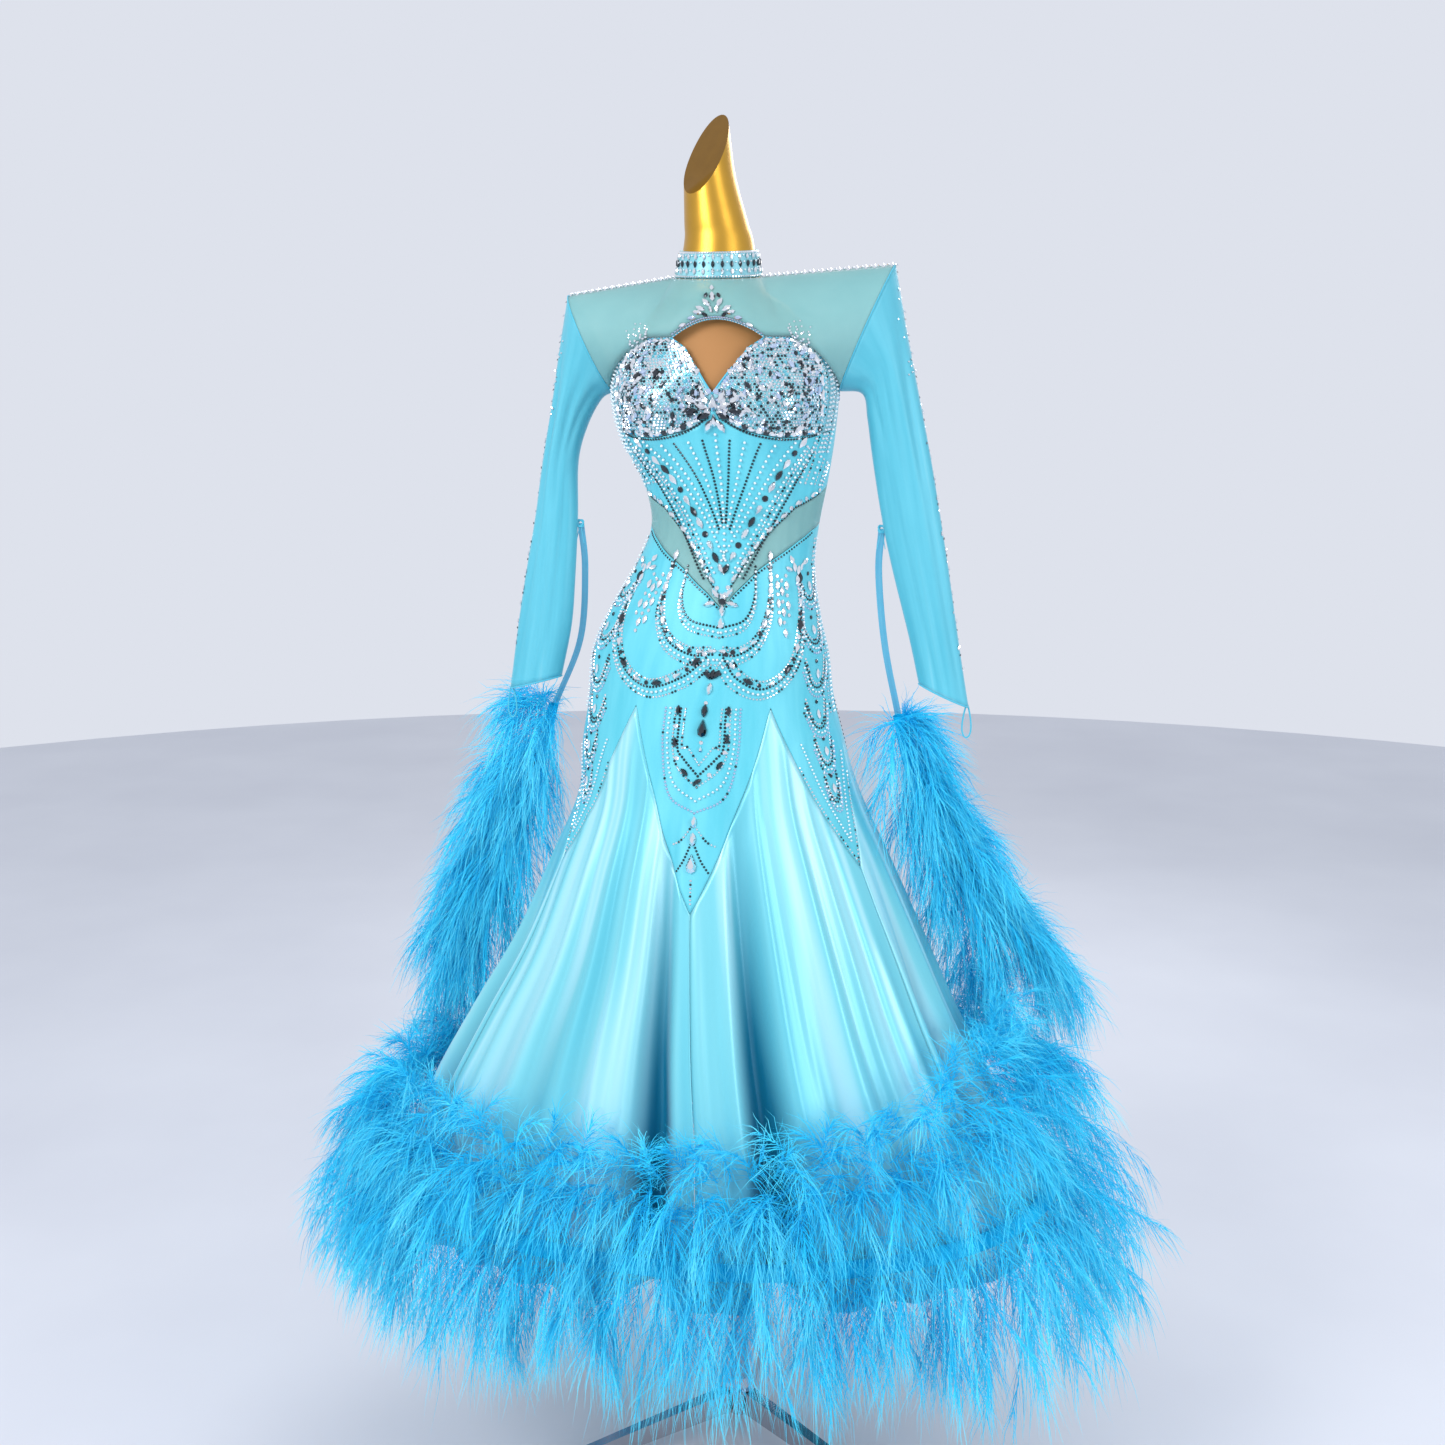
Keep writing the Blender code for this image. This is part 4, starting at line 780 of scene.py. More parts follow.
def make_hem_boa(finish):
    chance = np.random.RandomState(11)
    angle = -180.0 + 360.0 * (np.arange(HEM_PLUMES) + chance.uniform(-0.5, 0.5, HEM_PLUMES)) / HEM_PLUMES
    row = np.arange(HEM_PLUMES) % len(HEM_ROWS)
    z, direction, length, droop = (np.array([HEM_ROWS[r][c] for r in row]) for c in range(4))
    to_left = np.clip(np.sin(np.radians(angle)), 0.0, 1.0) ** 2
    z = z + HEM_LEFT_RISE * to_left * np.clip((z - HEM_TUBE_Z) / HEM_ROW_SPAN, 0.0, 1.0)
    here = body(z, angle, False)
    beside = unit(body(z, angle + 0.5, False) - here)
    out = level_normal(z, angle, False)
    up = np.array((0.0, 0.0, 1.0))
    core = here + out * (HEM_TUBE + 2 * SEAM)
    direction = np.radians(direction + chance.uniform(-14.0, 14.0, HEM_PLUMES))
    ways = unit(out * np.cos(direction)[:, None] + up * np.sin(direction)[:, None]
                + beside * chance.normal(0.0, 0.36, (HEM_PLUMES, 1)))
    facing = np.cos(np.radians(angle)) ** 2
    spread = (1 + HEM_LEFT_SPREAD * to_left) * (1 - (1 - HEM_FRONT_SHARE) * facing * np.cos(direction) ** 2)
    # the tufts that show as humps along the boa's top edge
    tuft = 1 + 0.12 * np.sin(np.radians(angle) * 8.0 + 0.6) + 0.07 * np.sin(np.radians(angle) * 19.0 + 2.0)
    lengths = length * spread * tuft * chance.uniform(0.78, 1.08, HEM_PLUMES)
    roots = core + (out * np.cos(direction)[:, None] + up * np.sin(direction)[:, None]) * HEM_TUBE * 0.6
    per_part = HEM_PLUMES // HEM_PARTS
    for part in range(HEM_PARTS):
        some = slice(part * per_part, (part + 1) * per_part)
        name = f"hem_boa_plumes_{part + 1}"
        mesh = plume_mesh(name, roots[some], ways[some], lengths[some], droop[some],
                          HEM_BARBS, HEM_BARB_LENGTH, 20 + part)
        replaced = ("hem_boa",) if part == 0 else ()
        new_piece(name, mesh, finish, replaced)
    turns = np.linspace(-180.0, 180.0, 181)[:-1]
    level = np.full(len(turns), HEM_TUBE_Z)
    line = body(level, turns, False) + level_normal(level, turns, False) * (HEM_TUBE + 2 * SEAM)
    points, quads = tube(line, HEM_TUBE * 0.9, sides=10, closed=True)
    uv = np.stack([np.full(len(points), 0.4), np.zeros(len(points))], axis=-1)
    new_piece("hem_boa_cord", new_mesh("hem_boa_cord", points, quads, uv=uv), finish)


def make_float_boas(finish):
    for number, side in enumerate(("right", "left")):
        chance = np.random.RandomState(31 + number)
        sign = -1.0 if side == "right" else 1.0
        share = (np.arange(FLOAT_PLUMES) + 0.5) / FLOAT_PLUMES
        core = route_point(FLOAT_ROUTES[side], share)
        ahead, behind = (route_point(FLOAT_ROUTES[side], share + step) for step in (0.01, -0.01))
        along = unit(ahead - behind)
        level = np.array((sign, 0.0, 0.0))
        out = unit(level - along * (along * level).sum(axis=-1, keepdims=True))
        front = unit(np.cross(along, out) * sign)
        front = np.where((front[:, 1] > 0)[:, None], -front, front)
        row = np.arange(FLOAT_PLUMES) % len(FLOAT_ROWS)
        direction, length, droop = (np.array([FLOAT_ROWS[r][c] for r in row]) for c in range(3))
        direction = np.radians(direction + chance.uniform(-16.0, 16.0, FLOAT_PLUMES))
        around = out * np.cos(direction)[:, None] + front * np.sin(direction)[:, None]
        rise = chance.normal(0.2, 0.25, FLOAT_PLUMES)
        rise = np.where(share < 0.10, -0.75, np.where(share > 0.90, 1.3, rise))
        ways = unit(around + along * rise[:, None])
        lengths = length * (1.0 + 0.14 * np.sin(share * 19.0)) * chance.uniform(0.8, 1.1, FLOAT_PLUMES)
        outward = np.clip(np.cos(direction), 0.0, 1.0)
        lengths = lengths * (1.0 - FLOAT_TOP_TRIM[side] * outward * np.clip(1.0 - share / 0.45, 0.0, 1.0))
        roots = core + around * FLOAT_TUBE * 0.6
        name = f"float_boa_{side}_plumes"
        mesh = plume_mesh(name, roots, ways, lengths, droop, FLOAT_BARBS, FLOAT_BARB_LENGTH, 41 + number)
        new_piece(name, mesh, finish, (f"float_boa_{side}",))
        line = route_point(FLOAT_ROUTES[side], np.linspace(0.0, 1.0, 40))
        points, quads = tube(line, FLOAT_TUBE * 0.8, sides=8)
        uv = np.stack([np.full(len(points), 0.4), np.zeros(len(points))], axis=-1)
        name = f"float_boa_{side}_cord"
        new_piece(name, new_mesh(name, points, quads, uv=uv), finish)


# Stones. A stone's outline is a ring of points; its crown rises to a smaller flat table.
def ring_outline(corners):
    turn = np.linspace(0.0, 2 * np.pi, corners + 1)[:-1]
    return np.stack([np.cos(turn), np.sin(turn)], axis=-1)


STONE_LIFT = 0.0004
# The rings of a stone from its base to its table, as (scale, height). A small one has no girdle.
STONE_LEVELS = ((0.94, 0.0), (1.0, 0.20), (0.56, 0.52))
SMALL_LEVELS = ((1.0, 0.0), (0.56, 0.52))
# Some stones of a row catch no light, so they look dark.
DARK_SHARE = {"silver": 0.24, "aurora": 0.12}
OUTLINES = {
    "round": ring_outline(8),
    "small": ring_outline(6),
    "boat": np.array(((1.0, 0.0), (0.55, 0.36), (0.0, 0.50), (-0.55, 0.36),
                      (-1.0, 0.0), (-0.55, -0.36), (0.0, -0.50), (0.55, -0.36))),
    "drop": np.array(((1.0, 0.0), (0.45, 0.26), (-0.15, 0.50), (-0.68, 0.42),
                      (-0.92, 0.0), (-0.68, -0.42), (-0.15, -0.50), (0.45, -0.26))),
}


def stone_shape(kind):
    """(points, quads, tris) of one stone of unit size, its base at z = 0."""
    if kind == "pearl":
        sides = 6
        turn = np.linspace(0.0, 2 * np.pi, sides + 1)[:-1]
        levels = ((0.92, 0.12), (0.86, 0.85), (0.45, 1.42))
        points = [np.stack([r * np.cos(turn), r * np.sin(turn), np.full(sides, h)], axis=-1)
                  for r, h in levels]
        points.append(np.array(((0.0, 0.0, 1.65),)))
        rings = 3
    else:
        outline = OUTLINES[kind]
        sides = len(outline)
        levels = SMALL_LEVELS if kind == "small" else STONE_LEVELS
        points = [np.column_stack([outline * scale, np.full(sides, h)]) for scale, h in levels]
        points.append(np.array(((0.0, 0.0, 0.53),)))
        rings = len(levels)
    points = np.concatenate(points)
    quads, tris = [], []
    for ring in range(rings - 1):
        for k in range(sides):
            n = (k + 1) % sides
            quads.append((ring * sides + k, ring * sides + n, (ring + 1) * sides + n, (ring + 1) * sides + k))
    for k in range(sides):
        tris.append(((rings - 1) * sides + k, (rings - 1) * sides + (k + 1) % sides, rings * sides))
    return points, np.array(quads), np.array(tris)


class Stones:
    """Collects stones by shape and finish, then makes one joined mesh of each finish."""

    def __init__(self):
        self.kept = {}
        self.chance = np.random.RandomState(3)

    def add(self, kind, finish, here, normal, heading, size):
        here = np.atleast_2d(here)
        normal = np.broadcast_to(normal, here.shape)
        heading = np.broadcast_to(heading, here.shape)
        size = np.broadcast_to(np.asarray(size, float), (len(here),))
        side = unit(np.cross(normal, heading))
        heading = unit(np.cross(side, normal))
        self.kept.setdefault(finish, []).append((kind, here, normal, heading, side, size))

    def make(self, finishes):
        for finish, groups in self.kept.items():
            points, quads, tris, count = [], [], [], 0
            for kind, here, normal, heading, side, size in groups:
                shape, shape_quads, shape_tris = stone_shape(kind)
                local = shape[None] * size[:, None, None]
                placed = (here[:, None] + heading[:, None] * local[..., 0:1] + side[:, None] * local[..., 1:2]
                          + normal[:, None] * (local[..., 2:3] + STONE_LIFT))
                starts = count + np.arange(len(here))[:, None, None] * len(shape)
                points.append(placed.reshape(-1, 3))
                quads.append((shape_quads[None] + starts).reshape(-1, 4))
                tris.append((shape_tris[None] + starts).reshape(-1, 3))
                count += len(here) * len(shape)
            name = f"stones_{finish}"
            mesh = new_mesh(name, np.concatenate(points), np.concatenate(quads), np.concatenate(tris),
                            smooth=finish == "pearl")
            new_piece(name, mesh, finishes[finish])


def path(corners, spacing, smooth=True):
    """Evenly spaced places along (angle, z) corners on the cloth: their points, normals and headings."""
    corners = np.asarray(corners, float)
    keys = np.arange(len(corners), dtype=float)
    fine = np.linspace(0.0, keys[-1], 40 * (len(corners) - 1) + 1)
    if smooth and len(corners) > 2:
        rows = [(k, *corner) for k, corner in zip(keys, corners)]
        angle, z = curve(rows, 1, fine), curve(rows, 2, fine)
    else:
        angle, z = np.interp(fine, keys, corners[:, 0]), np.interp(fine, keys, corners[:, 1])
    line = skin(z, angle)
    run = np.concatenate([[0.0], np.cumsum(np.linalg.norm(np.diff(line, axis=0), axis=-1))])
    count = max(2, int(round(run[-1] / spacing)) + 1)
    stops = np.linspace(0.0, run[-1], count)
    angle, z = np.interp(stops, run, angle), np.interp(stops, run, z)
    here, normal, _, _ = skin_frames(z, angle)
    return here, normal, unit(np.gradient(here, axis=0))


def mirrored(corners):
    return [[(sign * angle, z) for angle, z in corners] for sign in (1.0, -1.0)]


def string(stones, corners, spacing, kind, finish, size, both=True, across=False, offset=0.0, smooth=True):
    """A row of stones along a line, on both sides of the body unless told otherwise."""
    for line in mirrored(corners) if both else [corners]:
        here, normal, heading = path(line, spacing, smooth)
        side = unit(np.cross(normal, heading))
        outward = side * np.where(np.mean(here[:, 0]) > COLLAR_X, 1.0, -1.0)
        here = here + outward * offset
        # stones that catch no light are made dark: painted shade
        unlit = stones.chance.uniform(size=len(here)) < DARK_SHARE.get(finish, 0.0)
        for some, name in ((~unlit, finish), (unlit, "dark")):
            if some.any():
                stones.add(kind, name, here[some], normal[some], (side if across else heading)[some], size)


def mixed(stones, corners, spacing, kinds, both=True, offset=0.0, smooth=True):
    """A row that repeats a list of (kind, finish, size)."""
    for line in mirrored(corners) if both else [corners]:
        here, normal, heading = path(line, spacing, smooth)
        side = unit(np.cross(normal, heading))
        outward = side * np.where(np.mean(here[:, 0]) > COLLAR_X, 1.0, -1.0)
        here = here + outward * offset
        for k, (kind, finish, size) in enumerate(kinds):
            some = slice(k, None, len(kinds))
            stones.add(kind, finish, here[some], normal[some], heading[some], size)


def single(stones, angle, z, kind, finish, size, turn=90.0, both=False):
    """One stone at a place, its long side turned from level towards up."""
    for sign in (1.0, -1.0) if both else (1.0,):
        here, normal, beside, above = skin_frames(np.array([z]), np.array([sign * angle]))
        heading = beside * math.cos(math.radians(turn)) * sign + above * math.sin(math.radians(turn))
        stones.add(kind, finish, here, normal, heading, size)


CUP_BED_LOW = 1.436
CUP_BED_HIGH = 1.558
BED_SHARES = ((0.58, "silver"), (0.84, "dark"), (0.94, "aurora"), (1.01, "aqua"))


def fill_cups(stones):
    """The cups' bed of small stones, set in offset rows, with larger ones scattered among them."""
    chance = np.random.RandomState(5)
    for sign in (1.0, -1.0):
        for row, z in enumerate(np.arange(CUP_BED_LOW, CUP_BED_HIGH, 0.0038)):
            for angle in np.arange(2.4 + (row % 2) * 0.9, 60.0, 1.80):
                if not seam_height(CUP_LOW, angle) + 0.004 < z < seam_height(CUP_TOP, angle) - 0.003:
                    continue
                pick = chance.uniform()
                finish = next(name for limit, name in BED_SHARES if pick < limit)
                size = chance.uniform(0.0016, 0.0022) if chance.uniform() < 0.88 else 0.0032
                nudged = sign * (angle + chance.uniform(-0.12, 0.12))
                here, normal, beside, _ = skin_frames(np.array([z]), np.array([nudged]))
                stones.add("small", finish, here, normal, beside, size)
        for _ in range(60):
            angle, z = chance.uniform(4.0, 58.0), chance.uniform(CUP_BED_LOW, CUP_BED_HIGH)
            turn = chance.uniform(0.0, math.pi)
            finish = ("silver", "dark", "silver", "aurora")[chance.randint(4)]
            size = chance.uniform(0.0046, 0.0070)
            if seam_height(CUP_LOW, angle) + 0.008 < z < seam_height(CUP_TOP, angle) - 0.008:
                here, normal, beside, above = skin_frames(np.array([z]), np.array([sign * angle]))
                heading = beside * math.cos(turn) + above * math.sin(turn)
                stones.add("boat", finish, here + normal * 0.0010, normal, heading, size)


RIM_STONES = (("round", "silver", 0.0036), ("boat", "silver", 0.0058),
              ("round", "aurora", 0.0034), ("drop", "silver", 0.0058))
LOW_STONES = (("round", "silver", 0.0044), ("round", "dark", 0.0040), ("drop", "silver", 0.0062))
JOINT_STONES = (
    # angle, z, turn, finish
    (4.4, 1.486, 62.0, "silver"),
    (5.4, 1.474, 18.0, "silver"),
    (5.0, 1.462, -22.0, "dark"),
    (3.0, 1.450, -60.0, "silver"),
    (10.5, 1.482, 35.0, "silver"),
    (11.0, 1.468, -8.0, "dark"),
)
CUP_LEAVES = (
    # angle, z, turn
    (47.0, 1.547, 96.0),
    (51.0, 1.541, 108.0),
    (55.0, 1.532, 118.0),
    (58.0, 1.521, 128.0),
    (43.0, 1.551, 84.0),
    (60.0, 1.506, 100.0),
    (60.5, 1.488, 92.0),
    (60.0, 1.470, 84.0),
)


def trim_cups(stones):
    """Rims, seams and sprays of the cups."""
    rim = [(angle, z - 0.0036) for angle, z in CUP_TOP if 2 < angle < 62]
    mixed(stones, rim, 0.0086, RIM_STONES, smooth=False)
    string(stones, [(a, z - 0.0045) for a, z in rim], 0.0040, "small", "silver", 0.0019, smooth=False)
    low = [(3.0, 1.466), (16.0, 1.448), (32.0, 1.440), (48.0, 1.442), (60.0, 1.446)]
    mixed(stones, low, 0.0088, LOW_STONES)
    string(stones, [(a, z - 0.0065) for a, z in low], 0.0042, "small", "dark", 0.0018)
    for number, angle in enumerate((62.5, 66.0, 69.5, 73.0, 76.5, 80.0)):
        line = [(angle - 6.0, 1.536 - number * 0.004), (angle + 0.5, 1.508 - number * 0.0025), (angle, 1.480),
                (angle - 2.5, 1.450), (angle - 7.0, 1.418)]
        kind, finish = (("pearl", "pearl"), ("small", "silver"), ("pearl", "pearl"))[number % 3]
        spacing, size = (0.0058, 0.0020) if kind == "pearl" else (0.0048, 0.0017)
        string(stones, line, spacing, kind, finish, size)
    # the joint between the cups
    for angle, z, size, turn in ((0.0, 1.478, 0.0110, 90.0), (0.0, 1.457, 0.0085, 90.0)):
        single(stones, angle, z, "drop", "silver", size, turn)
    for angle, z, turn, finish in JOINT_STONES:
        single(stones, angle, z, "boat", finish, 0.0096, turn, both=True)
    for angle, z in ((1.8, 1.492), (8.0, 1.490), (8.6, 1.460), (14.5, 1.474)):
        single(stones, angle, z, "round", "aurora", 0.0036, both=True)
    # leaf-shaped stones that fan out at the outer top of each cup
    for angle, z, turn in CUP_LEAVES:
        single(stones, angle, z, "boat", "silver", 0.0078, turn, both=True)


FAN_ANGLES = (7.0, 14.5, 22.5, 30.0)
FAN_LOW_Z = 1.330
V_LINE = [(47.0, 1.430), (35.0, 1.394), (22.0, 1.347), (10.0, 1.304), (1.5, 1.272)]
V_STONES = (("boat", "silver", 0.0084), ("round", "dark", 0.0042),
            ("drop", "silver", 0.0078), ("boat", "dark", 0.0078))


def fill_corset(stones):
    """The fan of fine lines under the cups, and the large V."""
    string(stones, [(0.0, 1.440), (0.0, 1.285)], 0.0078, "pearl", "pearl", 0.0022, both=False)
    for number, angle in enumerate(FAN_ANGLES):
        line = [(angle, 1.432 - number * 0.002), (angle * 0.16, FAN_LOW_Z - 0.004 * number)]
        if number % 2:
            string(stones, line, 0.0076, "pearl", "pearl", 0.0021, smooth=False)
        else:
            string(stones, line, 0.0045, "small", "dark", 0.0018, smooth=False)
    mixed(stones, V_LINE, 0.0165, V_STONES, smooth=False)
    inner = ((-0.0100, "pearl", "pearl"), (0.0100, "pearl", "pearl"), (0.0152, "small", "silver"),
             (0.0204, "pearl", "pearl"), (0.0256, "small", "dark"))
    for offset, kind, finish in inner:
        size, spacing = (0.0020, 0.0068) if kind == "pearl" else (0.0018, 0.0046)
        string(stones, V_LINE, spacing, kind, finish, size, offset=offset, smooth=False)
    edge = [(angle, z + 0.006) for angle, z in CORSET_EDGE if angle < 72]
    mixed(stones, edge, 0.0128, (("boat", "silver", 0.0066), ("round", "silver", 0.0030)), smooth=False)
    seam = [(angle, z + 0.0012) for angle, z in CORSET_EDGE if angle < 72]
    string(stones, seam, 0.0042, "small", "dark", 0.0015, smooth=False)
    # short parallel lines at each side of the V
    for number, angle in enumerate((55.0, 60.0, 65.0, 70.0, 75.0, 80.0)):
        kind, finish = (("pearl", "pearl"), ("small", "silver"))[number % 2]
        line = [(angle, 1.420 - 0.004 * number), (angle - 6.0, 1.380 - 0.001 * number)]
        string(stones, line, 0.0066 if number % 2 == 0 else 0.0048, kind, finish, 0.0019, smooth=False)


def brooch(stones, z, size, petals, tail):
    """A round flower of leaf-shaped stones with a drop below."""
    single(stones, 0.0, z, "round", "dark", size * 0.42)
    for k in range(petals):
        turn = 360.0 * k / petals + 90.0 + 180.0 / petals
        reach = size * 0.98
        angle = math.degrees(reach * math.cos(math.radians(turn)) / 0.105)
        single(stones, angle, z + reach * math.sin(math.radians(turn)), "boat", "silver", size * 0.66, turn)
    if tail:
        single(stones, 0.0, z - size * 2.1, "drop", "silver", tail, 90.0)


# Rows of one swag, from its lowest up: how far up, and what it is set with.
SWAG_ROWS = (
    (0.0000, "small", "silver", 0.0018),
    (0.0064, "pearl", "pearl", 0.0021),
    (0.0128, "small", "dark", 0.0018),
    (0.0225, "small", "silver", 0.0018),
)
SWAGS = (
    # corners as (angle, z), from the hip's side to the middle
    [(22.0, 1.262), (21.5, 1.225), (14.5, 1.196), (0.0, 1.186)],
    [(33.0, 1.270), (33.0, 1.218), (24.0, 1.172), (11.0, 1.152), (0.0, 1.152)],
    [(61.0, 1.240), (57.0, 1.186), (44.0, 1.132), (27.0, 1.108), (11.0, 1.122), (1.5, 1.148)],
)
SWAG_MIXES = (
    (("round", "silver", 0.0030), ("boat", "dark", 0.0056)),
    (("boat", "silver", 0.0070), ("round", "dark", 0.0034), ("drop", "silver", 0.0062)),
    (("boat", "dark", 0.0078), ("round", "silver", 0.0034),
     ("drop", "silver", 0.0070), ("round", "dark", 0.0030)),
)


def raised(corners, rise):
    """A swag's corners moved up, and drawn in towards its middle."""
    middle = sum(angle for angle, _ in corners[1:-1]) / (len(corners) - 2)
    return [(middle + (angle - middle) * (1 - rise * 6.0), z + rise) for angle, z in corners]


def fill_hips(stones):
    """Brooches, swags and seams of the hip yoke."""
    brooch(stones, 1.232, 0.0125, 5, 0.0090)
    for swag, kinds in zip(SWAGS, SWAG_MIXES):
        for rise, kind, finish, size in SWAG_ROWS[:3] if swag is SWAGS[0] else SWAG_ROWS:
            string(stones, raised(swag, rise), 0.0066 if kind == "pearl" else 0.0046, kind, finish, size)
        if swag is not SWAGS[0]:
            mixed(stones, raised(swag, 0.0176), 0.0150, kinds)
    # hanging strands beside the inner swags
    for angle, high, low in ((37.5, 1.262, 1.205), (41.0, 1.256, 1.190), (45.0, 1.262, 1.212)):
        mixed(stones, [(angle, high), (angle + 0.5, low)], 0.0125,
              (("round", "silver", 0.0026), ("boat", "silver", 0.0064)), smooth=False)
    # the knot where the swags meet, and its pendant
    for angle, turn in ((2.0, 20.0), (2.0, 60.0), (-2.0, 120.0), (-2.0, 160.0), (0.0, 90.0)):
        single(stones, angle, 1.140, "boat", "dark", 0.0072, turn)
    for z, kind, finish, size in ((1.122, "boat", "silver", 0.0082), (1.104, "round", "silver", 0.0026),
                                  (1.094, "boat", "dark", 0.0086), (1.072, "drop", "dark", 0.0122),
                                  (1.054, "round", "silver", 0.0026), (1.046, "drop", "silver", 0.0044)):
        single(stones, 0.0, z, kind, finish, size, 90.0)
    # the U on the front point, and the drops below it
    for wide, low, kind, finish in ((17.0, 0.966, "small", "aurora"), (14.8, 0.981, "pearl", "pearl"),
                                    (12.4, 0.998, "small", "silver"), (10.2, 1.012, "small", "dark"),
                                    (8.2, 1.026, "small", "silver")):
        line = [(wide, 1.096), (wide * 0.96, 1.048), (wide * 0.68, low + 0.022), (0.0, low)]
        string(stones, line, 0.0064 if kind == "pearl" else 0.0046, kind, finish, 0.0019)
    mixed(stones, [(11.3, 1.094), (10.9, 1.050), (7.6, 1.022), (0.0, 1.005)], 0.0190,
          (("boat", "dark", 0.0066), ("round", "silver", 0.0030)))
    for z, kind, size in ((0.955, "boat", 0.0080), (0.934, "boat", 0.0090), (0.904, "drop", 0.0132)):
        single(stones, 0.0, z, kind, "silver", size, 90.0)
    string(stones, [(0.6, 0.950), (4.6, 0.932), (7.6, 0.926)], 0.0046, "small", "silver", 0.0018)
    string(stones, [(0.6, 0.928), (3.0, 0.908), (5.4, 0.894)], 0.0046, "small", "dark", 0.0017)
    string(stones, [(0.0, 0.884), (0.0, 0.856)], 0.0052, "small", "silver", 0.0018, both=False)


SCALLOPS = (
    # lowest height, half width in degrees
    (1.216, 15.0),
    (1.160, 14.0),
    (1.104, 12.5),
    (1.052, 10.5),
    (1.004, 8.0),
    (0.956, 5.5),
)
SCALLOP_ROWS = (
    # how far up, kind, finish
    (0.0, "small", "aurora"),
    (0.0060, "pearl", "pearl"),
    (0.0120, "small", "dark"),
    (0.0170, "small", "silver"),
)
HIP_LEAVES = (
    # angle, z, turn
    (50.0, 1.282, 120.0),
    (53.0, 1.272, 100.0),
    (57.0, 1.268, 80.0),
    (61.0, 1.272, 60.0),
    (55.5, 1.256, 90.0),
    (48.0, 1.270, 150.0),
    (65.0, 1.278, 40.0),
)


def trim_hip_seams(stones):
    """Rows that follow the side points of the hip, and the scallops above them."""
    middle_angle = 62.0
    for k, (bottom, width) in enumerate(SCALLOPS):
        middle = middle_angle + 8.0 * max(0.0, 1 - k / 3.0)
        for step, kind, finish in SCALLOP_ROWS:
            inner = width * (1 - step * 12.0)
            line = [(middle - inner, bottom + 0.034 + step), (middle - inner * 0.55, bottom + 0.007 + step),
                    (middle, bottom + step), (middle + inner * 0.55, bottom + 0.007 + step),
                    (middle + inner, bottom + 0.034 + step)]
            string(stones, line, 0.0064 if kind == "pearl" else 0.0046, kind, finish, 0.0018)
        single(stones, middle, bottom + 0.030, "boat", "silver", 0.0066, 90.0, both=True)
        single(stones, middle, bottom + 0.046, "round", "dark", 0.0028, both=True)
    for shift, kind, finish in ((0.0, "small", "silver"), (2.4, "pearl", "pearl")):
        left = [(44.0 + shift, 1.018 + 0.012 * shift), (middle_angle, 0.892 + 0.011 * shift)]
        string(stones, left, 0.0052, kind, finish, 0.0016, smooth=False)
        right = [(78.0 - shift, 1.000 + 0.012 * shift), left[1]]
        string(stones, right, 0.0052, kind, finish, 0.0016, smooth=False)
    for angle, kind, finish in ((79.0, "small", "silver"), (83.0, "pearl", "pearl"), (87.0, "small", "aurora")):
        string(stones, [(angle, 1.306), (angle, 1.200), (angle - 3.0, 1.080)], 0.0056, kind, finish, 0.0018)
    # clusters on the hip beside the sheer bands
    for angle, z, turn in HIP_LEAVES:
        single(stones, angle, z, "boat", "silver", 0.0064, turn, both=True)
    hip = [(angle, z - 0.004) for angle, z in HIP_TOP if angle < 72]
    string(stones, hip, 0.0046, "small", "dark", 0.0016, smooth=False)


COLLAR_STONES = 28
COLLAR_PEARLS = 96


def place_collar_stones(stones):
    """Columns of three stones round the collar, rows along its edges, and small hanging drops."""
    turns = np.radians(np.linspace(0.0, 360.0, COLLAR_STONES + 1)[:-1])
    radial = np.stack([np.sin(turns), -np.cos(turns), 0 * turns], axis=-1)
    up = np.array((0.0, 0.0, 1.0))
    low = collar_low(turns)
    for share, kind, finish, size in ((0.25, "boat", "silver", 0.0046), (0.53, "boat", "dark", 0.0046),
                                      (0.79, "boat", "silver", 0.0042)):
        here = collar_point(low + (COLLAR_TOP_Z - COLLAR_LOW_Z) * share, turns, 0.0003)
        stones.add(kind, finish, here, radial, up, size)
    many = np.radians(np.linspace(0.0, 360.0, COLLAR_PEARLS + 1)[:-1])
    out = np.stack([np.sin(many), -np.cos(many), 0 * many], axis=-1)
    side = np.stack([np.cos(many), np.sin(many), 0 * many], axis=-1)
    for share in (0.06, 0.95):
        here = collar_point(collar_low(many) + (COLLAR_TOP_Z - COLLAR_LOW_Z) * share, many, 0.0008)
        stones.add("small", "silver", here, out, side, 0.0016)
    hang = collar_point(low - 0.0035, turns, 0.0016)
    stones.add("drop", "silver", hang, unit(radial + 0.5 * up), up, 0.0034)
    between = turns + np.radians(180.0 / COLLAR_STONES)
    middle = np.stack([np.sin(between), -np.cos(between), 0 * between], axis=-1)
    for share in (0.3, 0.6, 0.85):
        here = collar_point(collar_low(between) + (COLLAR_TOP_Z - COLLAR_LOW_Z) * share, between, 0.0003)
        stones.add("pearl", "pearl", here, middle, up, 0.0013)


TRIANGLE = (
    # sideways share from the middle, height share, turn, size, finish
    (0.000, 0.52, 90.0, 0.0080, "silver"),
    (0.000, 0.74, 90.0, 0.0052, "silver"),
    (0.018, 0.38, 55.0, 0.0070, "silver"),
    (0.022, 0.56, 110.0, 0.0046, "dark"),
    (0.036, 0.26, 35.0, 0.0066, "silver"),
    (0.054, 0.18, 24.0, 0.0060, "silver"),
    (0.074, 0.12, 14.0, 0.0056, "aurora"),
    (0.012, 0.22, 80.0, 0.0052, "silver"),
    (0.030, 0.12, 40.0, 0.0046, "dark"),
    (0.096, 0.08, 6.0, 0.0048, "silver"),
)
